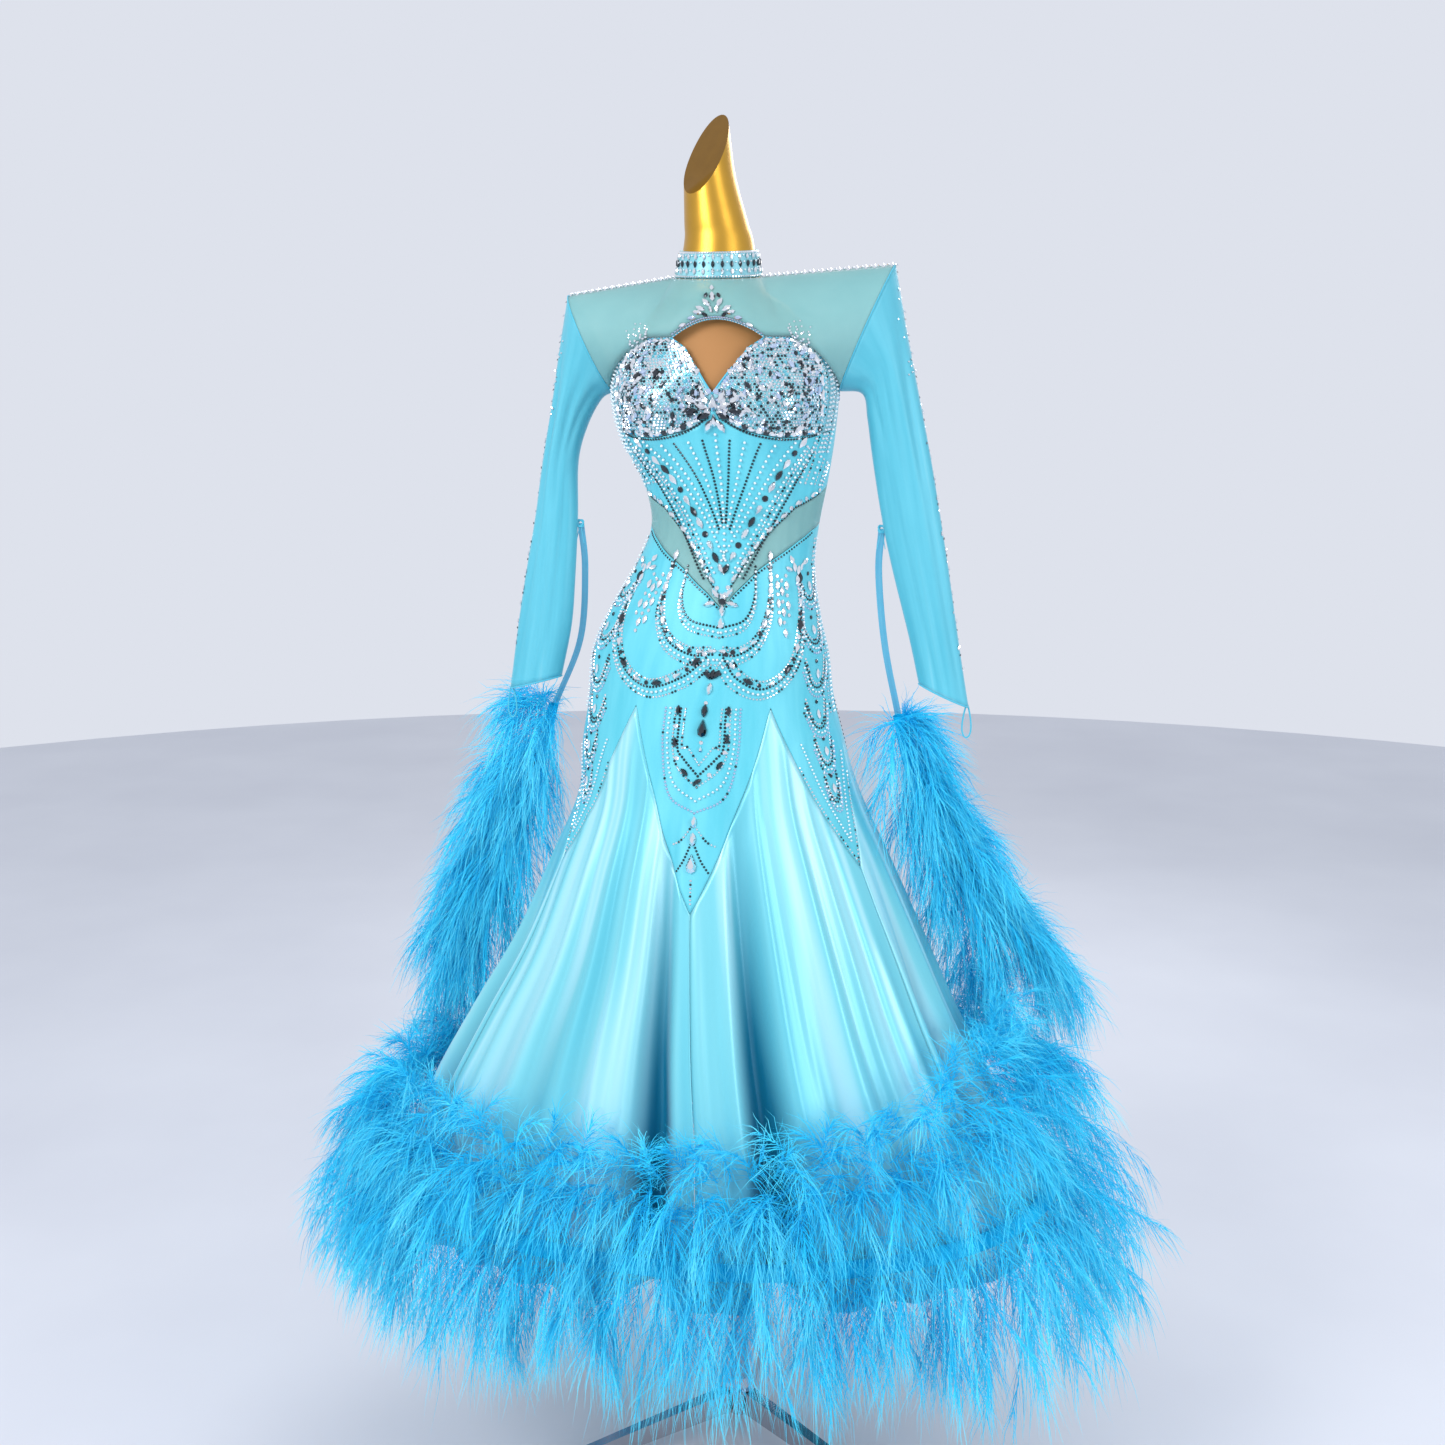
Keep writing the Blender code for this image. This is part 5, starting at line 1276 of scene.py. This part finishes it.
# sideways share at the foot, sideways share at the tip, height share
SPRAYS = ((0.245, 0.262, 0.26), (0.262, 0.285, 0.30), (0.280, 0.308, 0.27), (0.228, 0.238, 0.20))


def place_yoke_stones(stones):
    """Stones on the sheer yoke: the keyhole's rim, the triangle over it, sprays, and the shoulder seams."""
    grid = yoke_grid(True)
    columns, rows = grid.shape[:2]
    beside = unit(np.gradient(grid, axis=0))
    above = unit(np.gradient(grid, axis=1))
    normal = unit(np.cross(beside, above))

    def at(u, v):
        i, j = int(round(u * (columns - 1))), int(round(v * (rows - 1)))
        return grid[i, j], normal[i, j], beside[i, j], above[i, j]

    spread = np.where(np.abs(np.linspace(-SIDE, SIDE, columns)) <= KEYHOLE_ANGLE)[0]
    for lift_row, kind, size, finish in ((0, "small", 0.0019, "silver"), (1, "small", 0.0018, "aurora")):
        here = grid[spread, lift_row]
        fine = np.linspace(0.0, len(spread) - 1, 34)
        table = [(k, *p) for k, p in enumerate(here)]
        line = np.stack([curve(table, c, fine) for c in (1, 2, 3)], axis=-1)
        facing = normal[spread, lift_row]
        steps = np.arange(len(spread))
        out = unit(np.stack([np.interp(fine, steps, facing[:, c]) for c in range(3)], axis=-1))
        stones.add(kind, finish, line, out, unit(np.gradient(line, axis=0)), size)
    # a triangle of leaf-shaped stones between the keyhole and the collar
    for u, v, turn, size, finish in TRIANGLE:
        for sign in (1.0, -1.0) if u else (1.0,):
            here, out, side, up = at(0.5 + sign * u, v)
            heading = side * math.cos(math.radians(turn)) * sign + up * math.sin(math.radians(turn))
            stones.add("boat", finish, here, out, heading, size)
    # sprays that rise from the cups' outer tops
    for u_low, u_high, high in SPRAYS:
        for sign in (1.0, -1.0):
            for k in range(6):
                share = k / 5.0
                u = u_low + (u_high - u_low) * share
                here, out, side, up = at(0.5 + sign * u, 0.02 + high * share)
                stones.add("small", "silver", here, out, up, 0.0021 - 0.0009 * share)
    # edge of the yoke along the cups, and the shoulder seams with their drops
    for sign in (1.0, -1.0):
        for k in range(26):
            u = 0.5 + sign * (KEYHOLE_ANGLE + 1.5 + k * 1.8) / (2 * SIDE)
            here, out, side, _ = at(u, 0.015)
            stones.add("small", "silver", here, out, side, 0.0017)
        side_name = "left" if sign > 0 else "right"
        neck = np.array((COLLAR_X + sign * COLLAR_LOW_RADIUS, 0.0, collar_low(math.pi / 2)))
        shoulder = SHOULDERS[side_name]
        share = np.linspace(0.03, 0.98, 30)[:, None]
        line = neck + (shoulder - neck) * share
        run = unit(shoulder - neck)
        out = unit(np.array((0.0, -0.75, 0.66)))
        for shift in (-0.0030, 0.0022):
            stones.add("small", "silver", line + (0.0, shift, 0.0006), out, run, 0.0017)
        drops = line[1::2] + (0.0, -0.0075, -0.0008)
        hang = unit(np.array((0.0, 0.55, 0.85)))
        stones.add("drop", "silver", drops, unit(np.array((0.0, -0.85, 0.5))), hang, 0.0036)


def place_sleeve_stones(stones):
    """Scattered stones and small drops along each sleeve's outer edge, and a few more small stones beside it
    near the top.
    """
    for number, side in enumerate(("right", "left")):
        chance = np.random.RandomState(60 + number)
        grid = sleeve_grid(side)
        around, rows = grid.shape[:2]
        middle = grid.mean(axis=0)
        # the outer edge is half way round the sleeve from its inner edge
        for k in range(58):
            j = min(rows - 1, int((k + 0.5) / 58 * rows * 0.90))
            i = (around // 2 + chance.randint(-3, 4)) % around
            here = grid[i, j]
            out = unit(here - middle[j])
            kind, size = ("small", 0.0018) if k % 3 else ("drop", 0.0038)
            stones.add(kind, ("silver", "dark", "silver")[k % 3], here, out, np.array((0.0, 0.0, 1.0)), size)
        for k in range(22):
            j = int(rows * (0.02 + 0.30 * chance.uniform()))
            beside = -1 if k % 2 else 1
            i = (around // 2 + beside * (2 + chance.randint(0, 5))) % around
            here = grid[i, j]
            stones.add("small", "silver", here, unit(here - middle[j]), np.array((0.0, 0.0, 1.0)), 0.0016)


BACK_SEAMS = (
    # both ends as (angle, z)
    ((123.0, 0.872), (150.0, 1.092)),
    ((150.0, 1.092), (179.0, 0.862)),
    ((91.0, 1.090), (123.0, 0.872)),
)


def place_back_stones(stones):
    """The back has the same trims in a plainer form: rows along its seams, and pearls down its middle."""
    for offset, finish in ((0.004, "silver"), (0.009, "aurora")):
        line = [(a, z - offset) for a, z in BACK_TOP]
        string(stones, line, 0.0060, "small", finish, 0.0017, smooth=False)
    string(stones, [(179.0, 1.440), (179.0, 1.260)], 0.0075, "pearl", "pearl", 0.0016, smooth=False)
    for low, high in BACK_SEAMS:
        for rise in (0.0, 0.006):
            string(stones, [(low[0], low[1] + rise), (high[0], high[1] + rise)], 0.0066, "small",
                   "silver" if rise else "dark", 0.0016, smooth=False)
    for bottom in (1.235, 1.175, 1.115):
        for finish, rise in (("silver", 0.0), ("dark", 0.007)):
            line = [(105.0, bottom + 0.05 + rise), (125.0, bottom + rise), (152.0, bottom + 0.022 + rise),
                    (179.0, bottom - 0.012 + rise)]
            string(stones, line, 0.0066, "small", finish, 0.0016)


def make_stones(finishes):
    stones = Stones()
    fill_cups(stones)
    trim_cups(stones)
    fill_corset(stones)
    fill_hips(stones)
    trim_hip_seams(stones)
    place_collar_stones(stones)
    place_yoke_stones(stones)
    place_sleeve_stones(stones)
    place_back_stones(stones)
    stones.make(finishes)


# The form's skin follows the gown's surface at an inset, then its own shoulder and neck sections.
FORM_INSET = 0.0080
FORM_HIP_INSET = 0.0150
FORM_BOTTOM_Z = 0.930
FORM_RING_Z = (0.960, 1.030, 1.096, 1.154, 1.201, 1.250, 1.322, 1.380, 1.430, 1.470, 1.505)
FORM_SECTIONS = (
    # z, centre_x, side, front, back
    (1.545, -0.021, 0.122, 0.094, 0.066),
    (1.575, -0.024, 0.106, 0.083, 0.057),
    (1.598, -0.026, 0.088, 0.069, 0.052),
    (1.610, -0.028, 0.072, 0.059, 0.0505),
    (1.621, -0.030, 0.060, 0.0545, 0.0520),
    (1.648, -0.030, 0.0502, 0.0502, 0.0502),
    (1.684, -0.030, 0.0438, 0.0438, 0.0438),
    (1.705, -0.0335, 0.0405, 0.0425, 0.0425),
    (1.760, -0.0415, 0.0330, 0.0400, 0.0360),
    (1.800, -0.0440, 0.0295, 0.0384, 0.0346),
    (1.860, -0.0470, 0.0255, 0.0360, 0.0324),
)
NECK_CUT_POINT = (-0.043, 0.0, 1.794)
NECK_CUT_NORMAL = (-0.545, -0.650, 0.530)
FORM_COLUMNS = 96
FORM_STEPS = 5


def form_rings():
    turn = np.linspace(0.0, 2 * np.pi, FORM_COLUMNS + 1)[:-1]
    angle = np.degrees(turn)
    rings = []
    for z in FORM_RING_Z:
        inset = FORM_HIP_INSET if z < WAIST_Z - 0.01 else FORM_INSET
        rings.append(body(z, angle, False) - level_normal(z, angle, False) * inset)
    foot = body(FORM_RING_Z[0], angle, False)
    middle = foot.mean(axis=0)
    foot = middle + (foot - middle) * 0.80
    foot[:, 2] = FORM_BOTTOM_Z
    rings.insert(0, foot)
    for z, centre_x, side, front, back in FORM_SECTIONS:
        depth = np.where(np.cos(turn) > 0, front, back)
        rings.append(np.stack([centre_x + side * np.sin(turn), -depth * np.cos(turn), 0 * turn + z], axis=-1))
    return np.array(rings)


def make_form(finish, cut_shade_finish):
    rings = form_rings()
    flat = rings.reshape(len(rings), -1)
    table = [(k, *ring) for k, ring in enumerate(flat)]
    share = np.linspace(0.0, len(rings) - 1, (len(rings) - 1) * FORM_STEPS + 1)
    grid = np.stack([curve(table, c + 1, share) for c in range(flat.shape[1])], axis=-1)
    grid = grid.reshape(len(share), FORM_COLUMNS, 3).transpose(1, 0, 2)
    columns, rows = grid.shape[:2]
    points = grid.reshape(-1, 3)
    quads = grid_faces(columns, rows, ring=True)
    points = np.concatenate([points, grid[:, 0].mean(axis=0)[None], grid[:, -1].mean(axis=0)[None]])
    i = np.arange(columns)
    k = (i + 1) % columns
    low = np.stack([k * rows, i * rows, np.full(columns, len(points) - 2)], axis=-1)
    high = np.stack([i * rows + rows - 1, k * rows + rows - 1, np.full(columns, len(points) - 1)], axis=-1)
    mesh = new_mesh("form_torso", points, quads, np.concatenate([low, high]))
    work = bmesh.new()
    work.from_mesh(mesh)
    cut = bmesh.ops.bisect_plane(work, geom=work.verts[:] + work.edges[:] + work.faces[:],
                                 plane_co=NECK_CUT_POINT, plane_no=NECK_CUT_NORMAL, clear_outer=True)
    rim = [part for part in cut["geom_cut"] if isinstance(part, bmesh.types.BMEdge)]
    bmesh.ops.contextual_create(work, geom=rim)
    work.to_mesh(mesh)
    work.free()
    normal = np.array(NECK_CUT_NORMAL) / np.linalg.norm(NECK_CUT_NORMAL)
    made = new_piece("form_torso_skin", mesh, finish, ("form_torso",))
    # the neck's cut face takes a darker gold: painted shade
    mesh.materials.append(cut_shade_finish)
    for face in mesh.polygons:
        if abs(np.dot(face.normal, normal)) > 0.999 and len(face.vertices) > 6:
            face.use_smooth = False
            face.material_index = 1
    mesh.set_sharp_from_angle(angle=math.radians(40.0))
    rim_bevel = made.modifiers.new("Rim", "BEVEL")
    rim_bevel.width = 0.0012
    rim_bevel.segments = 2
    rim_bevel.limit_method = "ANGLE"
    rim_bevel.angle_limit = math.radians(40.0)


def make_keyhole_binding(finish):
    """Narrow bindings along the keyhole: under the yoke's arch and along the cups' tops."""
    arch = np.linspace(-KEYHOLE_ANGLE, KEYHOLE_ANGLE, 60)
    z = KEYHOLE_Z + KEYHOLE_RISE * (1 - (arch / KEYHOLE_ANGLE) ** 2)
    lines = [tube(skin(z, arch, 0.0002), 0.0011, sides=6)]
    cups = np.linspace(-70.0, 70.0, 141)
    lines.append(tube(skin(seam_height(CUP_TOP, cups) - 0.0012, cups, 0.0002), 0.0011, sides=6))
    back = np.linspace(91.0, 269.0, 150)
    lines.append(tube(skin(seam_height(BACK_TOP, back) - 0.001, back, 0.0001), 0.0009, sides=6))
    points, quads = joined(lines)
    new_piece("keyhole_binding", new_mesh("keyhole_binding", points, quads), finish)


# Materials.
def new_material(name):
    made = bpy.data.materials.new(name)
    made.use_nodes = True
    nodes = made.node_tree.nodes
    return made, nodes, made.node_tree.links, nodes["Principled BSDF"]


def noise(nodes, links, source, scale, detail=4.0):
    texture = nodes.new("ShaderNodeTexNoise")
    mapping = nodes.new("ShaderNodeMapping")
    mapping.inputs["Scale"].default_value = scale
    links.new(source, mapping.inputs["Vector"])
    links.new(mapping.outputs["Vector"], texture.inputs["Vector"])
    texture.inputs["Scale"].default_value = 1.0
    texture.inputs["Detail"].default_value = detail
    return texture.outputs["Fac"]


def ramp(nodes, links, source, stops):
    made = nodes.new("ShaderNodeValToRGB")
    bar = made.color_ramp
    while len(bar.elements) > 1:
        bar.elements.remove(bar.elements[-1])
    bar.elements[0].position, bar.elements[0].color = stops[0]
    for where, colour in stops[1:]:
        bar.elements.new(where).color = colour
    links.new(source, made.inputs["Fac"])
    return made.outputs["Color"]


def bump(nodes, links, source, strength, distance):
    made = nodes.new("ShaderNodeBump")
    made.inputs["Strength"].default_value = strength
    made.inputs["Distance"].default_value = distance
    links.new(source, made.inputs["Height"])
    return made.outputs["Normal"]


def cloth_finish(name, stops, streak, roughness, metallic=0.0, sheen=0.0, alpha=1.0,
                 weave=(), bumps=0.0, fold_shade_colour=None, detail=4.0):
    """Cloth with a colour streaked along its grain (on the skirt's satin these streaks are painted sheen), a
    fine weave, and painted shade: a darker colour inside folds.
    """
    made, nodes, links, shader = new_material(name)
    coords = nodes.new("ShaderNodeTexCoord")
    # streaked colour: random tone, and on the skirt's satin painted sheen streaks
    tone_and_sheen_streaks = noise(nodes, links, coords.outputs["UV"], streak, detail)
    colour = ramp(nodes, links, tone_and_sheen_streaks, stops)
    # painted shade: a darker colour mixed in by how deep the fold is
    if fold_shade_colour:
        shade_in_folds = nodes.new("ShaderNodeAttribute")
        shade_in_folds.attribute_name = "shade_in_folds"
        blend = nodes.new("ShaderNodeMix")
        blend.data_type = "RGBA"
        links.new(shade_in_folds.outputs["Fac"], blend.inputs[0])
        links.new(colour, blend.inputs[6])
        blend.inputs[7].default_value = fold_shade_colour
        colour = blend.outputs[2]
    links.new(colour, shader.inputs["Base Color"])
    shader.inputs["Roughness"].default_value = roughness
    shader.inputs["Metallic"].default_value = metallic
    shader.inputs["Sheen Weight"].default_value = sheen
    shader.inputs["Sheen Roughness"].default_value = 0.4
    shader.inputs["Alpha"].default_value = alpha
    if weave:
        grain = noise(nodes, links, coords.outputs["Object"], weave, detail=2.0)
        links.new(bump(nodes, links, grain, bumps, 0.0006), shader.inputs["Normal"])
    return made


DULL_BLEND = 0.03
DULL_ROUGHNESS = 0.62
DULL_METALLIC = 0.25


def metal_finish(name, colour, roughness, marks=0.05, metallic=1.0, coat=0.0, dull=None):
    """A lacquer or metal with faint marks, and where dull gives a height and colour, matte below it."""
    made, nodes, links, shader = new_material(name)
    coords = nodes.new("ShaderNodeTexCoord")
    spots = noise(nodes, links, coords.outputs["Object"], (60.0, 60.0, 60.0))
    darker = tuple(part * (1.0 - marks) for part in colour[:3]) + (1.0,)
    tone = ramp(nodes, links, spots, ((0.3, darker), (0.7, colour)))
    shader.inputs["Metallic"].default_value = metallic
    shader.inputs["Roughness"].default_value = roughness
    if dull:
        height = nodes.new("ShaderNodeSeparateXYZ")
        links.new(coords.outputs["Object"], height.inputs["Vector"])
        low = nodes.new("ShaderNodeMapRange")
        low.inputs["From Min"].default_value = dull[0]
        low.inputs["From Max"].default_value = dull[0] - DULL_BLEND
        links.new(height.outputs["Z"], low.inputs["Value"])
        blend = nodes.new("ShaderNodeMix")
        blend.data_type = "RGBA"
        links.new(low.outputs["Result"], blend.inputs[0])
        links.new(tone, blend.inputs[6])
        blend.inputs[7].default_value = dull[1]
        tone = blend.outputs[2]
        rough = nodes.new("ShaderNodeMapRange")
        rough.inputs["To Min"].default_value = roughness
        rough.inputs["To Max"].default_value = DULL_ROUGHNESS
        links.new(low.outputs["Result"], rough.inputs["Value"])
        links.new(rough.outputs["Result"], shader.inputs["Roughness"])
        shine = nodes.new("ShaderNodeMapRange")
        shine.inputs["To Min"].default_value = metallic
        shine.inputs["To Max"].default_value = DULL_METALLIC
        links.new(low.outputs["Result"], shine.inputs["Value"])
        links.new(shine.outputs["Result"], shader.inputs["Metallic"])
    links.new(tone, shader.inputs["Base Color"])
    shader.inputs["Coat Weight"].default_value = coat
    links.new(bump(nodes, links, spots, 0.02, 0.0005), shader.inputs["Normal"])
    return made


FEATHER_NEAR = ((0.0, rgb(0, 186, 240)), (0.5, rgb(0, 204, 250)), (1.0, rgb(30, 214, 252)))
FEATHER_TIPS = ((0.0, rgb(50, 216, 248)), (1.0, rgb(124, 232, 248)))


def feather_finish():
    made, nodes, links, shader = new_material("ostrich_feather")
    coords = nodes.new("ShaderNodeUVMap")
    parts = nodes.new("ShaderNodeSeparateXYZ")
    links.new(coords.outputs["UV"], parts.inputs["Vector"])
    near = ramp(nodes, links, parts.outputs["X"], FEATHER_NEAR)
    tips = ramp(nodes, links, parts.outputs["X"], FEATHER_TIPS)
    blend = nodes.new("ShaderNodeMix")
    blend.data_type = "RGBA"
    links.new(parts.outputs["Y"], blend.inputs[0])
    links.new(near, blend.inputs[6])
    links.new(tips, blend.inputs[7])
    links.new(blend.outputs[2], shader.inputs["Base Color"])
    shader.inputs["Roughness"].default_value = 0.70
    shader.inputs["Specular IOR Level"].default_value = 0.25
    return made


# Colour stops of the cloths, as (place, colour).
# the skirt satin's pale stop paints sheen streaks along its grain
SATIN_SHEEN_STREAKS = ((0.34, rgb(92, 190, 208)), (0.50, rgb(122, 206, 218)),
         (0.60, rgb(166, 224, 234)), (0.68, rgb(114, 202, 216)))
CORSET = ((0.35, rgb(84, 192, 210)), (0.65, rgb(100, 202, 218)))
CUP_BASE = ((0.3, rgb(120, 190, 204)), (0.7, rgb(150, 206, 216)))
YOKE_MESH = ((0.35, rgb(136, 196, 197)), (0.65, rgb(146, 204, 204)))
SLEEVE_MESH = ((0.30, rgb(84, 192, 214)), (0.60, rgb(104, 206, 226)), (0.8, rgb(136, 218, 234)))
CHIFFON = ((0.35, rgb(70, 190, 224)), (0.65, rgb(100, 206, 234)))
BINDING = ((0.4, rgb(64, 178, 206)), (0.6, rgb(84, 192, 216)))


def make_finishes():
    satin = cloth_finish("skirt_satin", SATIN_SHEEN_STREAKS, (10.0, 0.8, 1.0), 0.34, metallic=0.15, sheen=0.12,
                         # the last colour is the shade painted into the skirt's folds
                         weave=(900.0, 900.0, 90.0), bumps=0.08, fold_shade_colour=rgb(8, 116, 148), detail=1.5)
    corset = cloth_finish("bodice_satin", CORSET, (14.0, 8.0, 1.0), 0.45, metallic=0.05, sheen=0.15,
                          weave=(1100.0, 1100.0, 1100.0), bumps=0.12)
    cup = cloth_finish("cup_base", CUP_BASE, (30.0, 30.0, 1.0), 0.40, metallic=0.2,
                       weave=(900.0, 900.0, 900.0), bumps=0.15)
    teal = cloth_finish("sheer_yoke_mesh", YOKE_MESH, (12.0, 12.0, 1.0), 0.55, sheen=0.25, alpha=0.56,
                        weave=(2400.0, 2400.0, 2400.0), bumps=0.04)
    blue = cloth_finish("sheer_sleeve_mesh", SLEEVE_MESH, (60.0, 3.0, 1.0), 0.50, sheen=0.30, alpha=0.74,
                        weave=(2400.0, 2400.0, 2400.0), bumps=0.04)
    organza = cloth_finish("float_chiffon", CHIFFON, (60.0, 6.0, 1.0), 0.50, sheen=0.40, alpha=0.70,
                           weave=(1400.0, 1400.0, 1400.0), bumps=0.10)
    trim = cloth_finish("blue_binding", BINDING, (200.0, 200.0, 1.0), 0.45, sheen=0.2,
                        weave=(900.0, 900.0, 900.0), bumps=0.12)
    return {
        "satin": satin, "corset": corset, "cup": cup, "teal_mesh": teal, "blue_mesh": blue, "organza": organza,
        "trim": trim,
        "gold": metal_finish("gold_lacquer", rgb(208, 160, 62), 0.36, marks=0.06, coat=0.10,
                             dull=(1.61, rgb(172, 122, 70))),
        # the cut face's darker gold is painted shade
        "gold_cut_shaded": metal_finish("gold_lacquer_cut_shaded", rgb(150, 108, 34), 0.34, marks=0.10),
        "chrome": metal_finish("stand_chrome", rgb(176, 176, 182), 0.14),
        "feather": feather_finish(),
        "stones": {
            "silver": metal_finish("crystal_silver", rgb(244, 247, 250), 0.05, coat=1.0, metallic=0.95),
            "dark": metal_finish("crystal_dark", rgb(46, 54, 62), 0.06, coat=1.0, metallic=0.9),
            "aurora": metal_finish("crystal_aurora", rgb(196, 214, 240), 0.10, coat=1.0, metallic=0.7),
            "aqua": metal_finish("crystal_aqua", rgb(110, 206, 226), 0.08, coat=1.0, metallic=0.6),
            "pearl": metal_finish("pearl", rgb(226, 238, 244), 0.24, coat=0.8, metallic=0.1),
        },
    }


# The camera stands at the photo's angle.
FOCAL = 39.86
CAMERA_TURN = 8.0
CAMERA_PITCH = 10.64
CAMERA_DISTANCE = 2.117
CAMERA_HEIGHT = 1.455
CAMERA_SHIFT = -0.025


def make_camera():
    turn = math.radians(CAMERA_TURN)
    across = Vector((math.cos(turn), math.sin(turn), 0.0))
    ahead = Vector((-math.sin(turn), math.cos(turn), 0.0))
    lens = bpy.data.cameras.new("camera")
    lens.lens = FOCAL
    lens.sensor_width = 36.0
    camera = bpy.data.objects.new("camera", lens)
    bpy.context.scene.collection.objects.link(camera)
    camera.location = -CAMERA_DISTANCE * ahead + CAMERA_SHIFT * across + Vector((0.0, 0.0, CAMERA_HEIGHT))
    pitch = math.radians(CAMERA_PITCH)
    look = ahead * math.cos(pitch) - Vector((0.0, 0.0, math.sin(pitch)))
    camera.rotation_euler = look.to_track_quat("-Z", "Y").to_euler()
    bpy.context.scene.camera = camera


def make_light(name, location, target, size, power, colour=(1.0, 1.0, 1.0)):
    light = bpy.data.lights.new(name, "AREA")
    light.shape = "RECTANGLE"
    light.size, light.size_y = size
    light.energy = power
    light.color = colour
    made = bpy.data.objects.new(name, light)
    bpy.context.scene.collection.objects.link(made)
    made.location = location
    made.rotation_euler = (Vector(target) - Vector(location)).to_track_quat("-Z", "Y").to_euler()


FLOOR_RADIUS = 6.0
FLOOR_SIDES = 96
FLOOR_Z = -0.0005
FLOOR_TONES = ((0.3, rgb(206, 209, 217)), (0.7, rgb(214, 217, 224)))


def make_studio():
    scene = bpy.context.scene
    world = bpy.data.worlds.new("studio")
    world.use_nodes = True
    back = world.node_tree.nodes["Background"]
    back.inputs["Color"].default_value = rgb(222, 226, 236)
    back.inputs["Strength"].default_value = 1.0
    scene.world = world
    make_light("key", (-1.6, -2.4, 2.7), (0.0, 0.0, 1.1), (1.4, 1.4), 62.0)
    make_light("fill", (2.4, -1.8, 1.9), (0.0, 0.0, 0.9), (1.2, 1.8), 32.0)
    make_light("rim", (0.6, 2.4, 2.4), (0.0, 0.0, 1.0), (1.6, 1.2), 26.0)
    turn = np.linspace(0.0, 2 * np.pi, FLOOR_SIDES + 1)[:-1]
    rim = [(FLOOR_RADIUS * math.cos(a), FLOOR_RADIUS * math.sin(a), FLOOR_Z) for a in turn]
    fan = [(k, (k + 1) % FLOOR_SIDES, FLOOR_SIDES) for k in range(FLOOR_SIDES)]
    mesh = new_mesh("floor", rim + [(0.0, 0.0, FLOOR_Z)], (), fan, smooth=False)
    floor = bpy.data.objects.new("floor", mesh)
    scene.collection.objects.link(floor)
    pale, nodes, links, shader = new_material("pale_floor")
    coords = nodes.new("ShaderNodeTexCoord")
    clouds = noise(nodes, links, coords.outputs["Object"], (1.5, 1.5, 1.5))
    links.new(ramp(nodes, links, clouds, FLOOR_TONES), shader.inputs["Base Color"])
    shader.inputs["Roughness"].default_value = 0.6
    floor.data.materials.append(pale)
    scene.view_settings.view_transform = "Standard"


def dress_stand(finish):
    for name in ("stand_pole", "leg_1", "leg_2", "leg_3"):
        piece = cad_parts[name]
        piece.data.materials.clear()
        piece.data.materials.append(finish)
        edge = piece.modifiers.new("Edges", "BEVEL")
        edge.width = 0.0008
        edge.segments = 2
        edge.limit_method = "ANGLE"


def main():
    make_camera()
    finishes = make_finishes()
    make_panels(finishes)
    make_underskirt(finishes["organza"])
    make_collar(finishes["cup"])
    make_yokes(finishes["teal_mesh"])
    make_sleeves(finishes["blue_mesh"], finishes["trim"])
    make_floats(finishes["organza"], finishes["trim"])
    make_hem_boa(finishes["feather"])
    make_float_boas(finishes["feather"])
    make_form(finishes["gold"], finishes["gold_cut_shaded"])
    make_keyhole_binding(finishes["trim"])
    make_stones(finishes["stones"])
    dress_stand(finishes["chrome"])
    make_studio()


main()
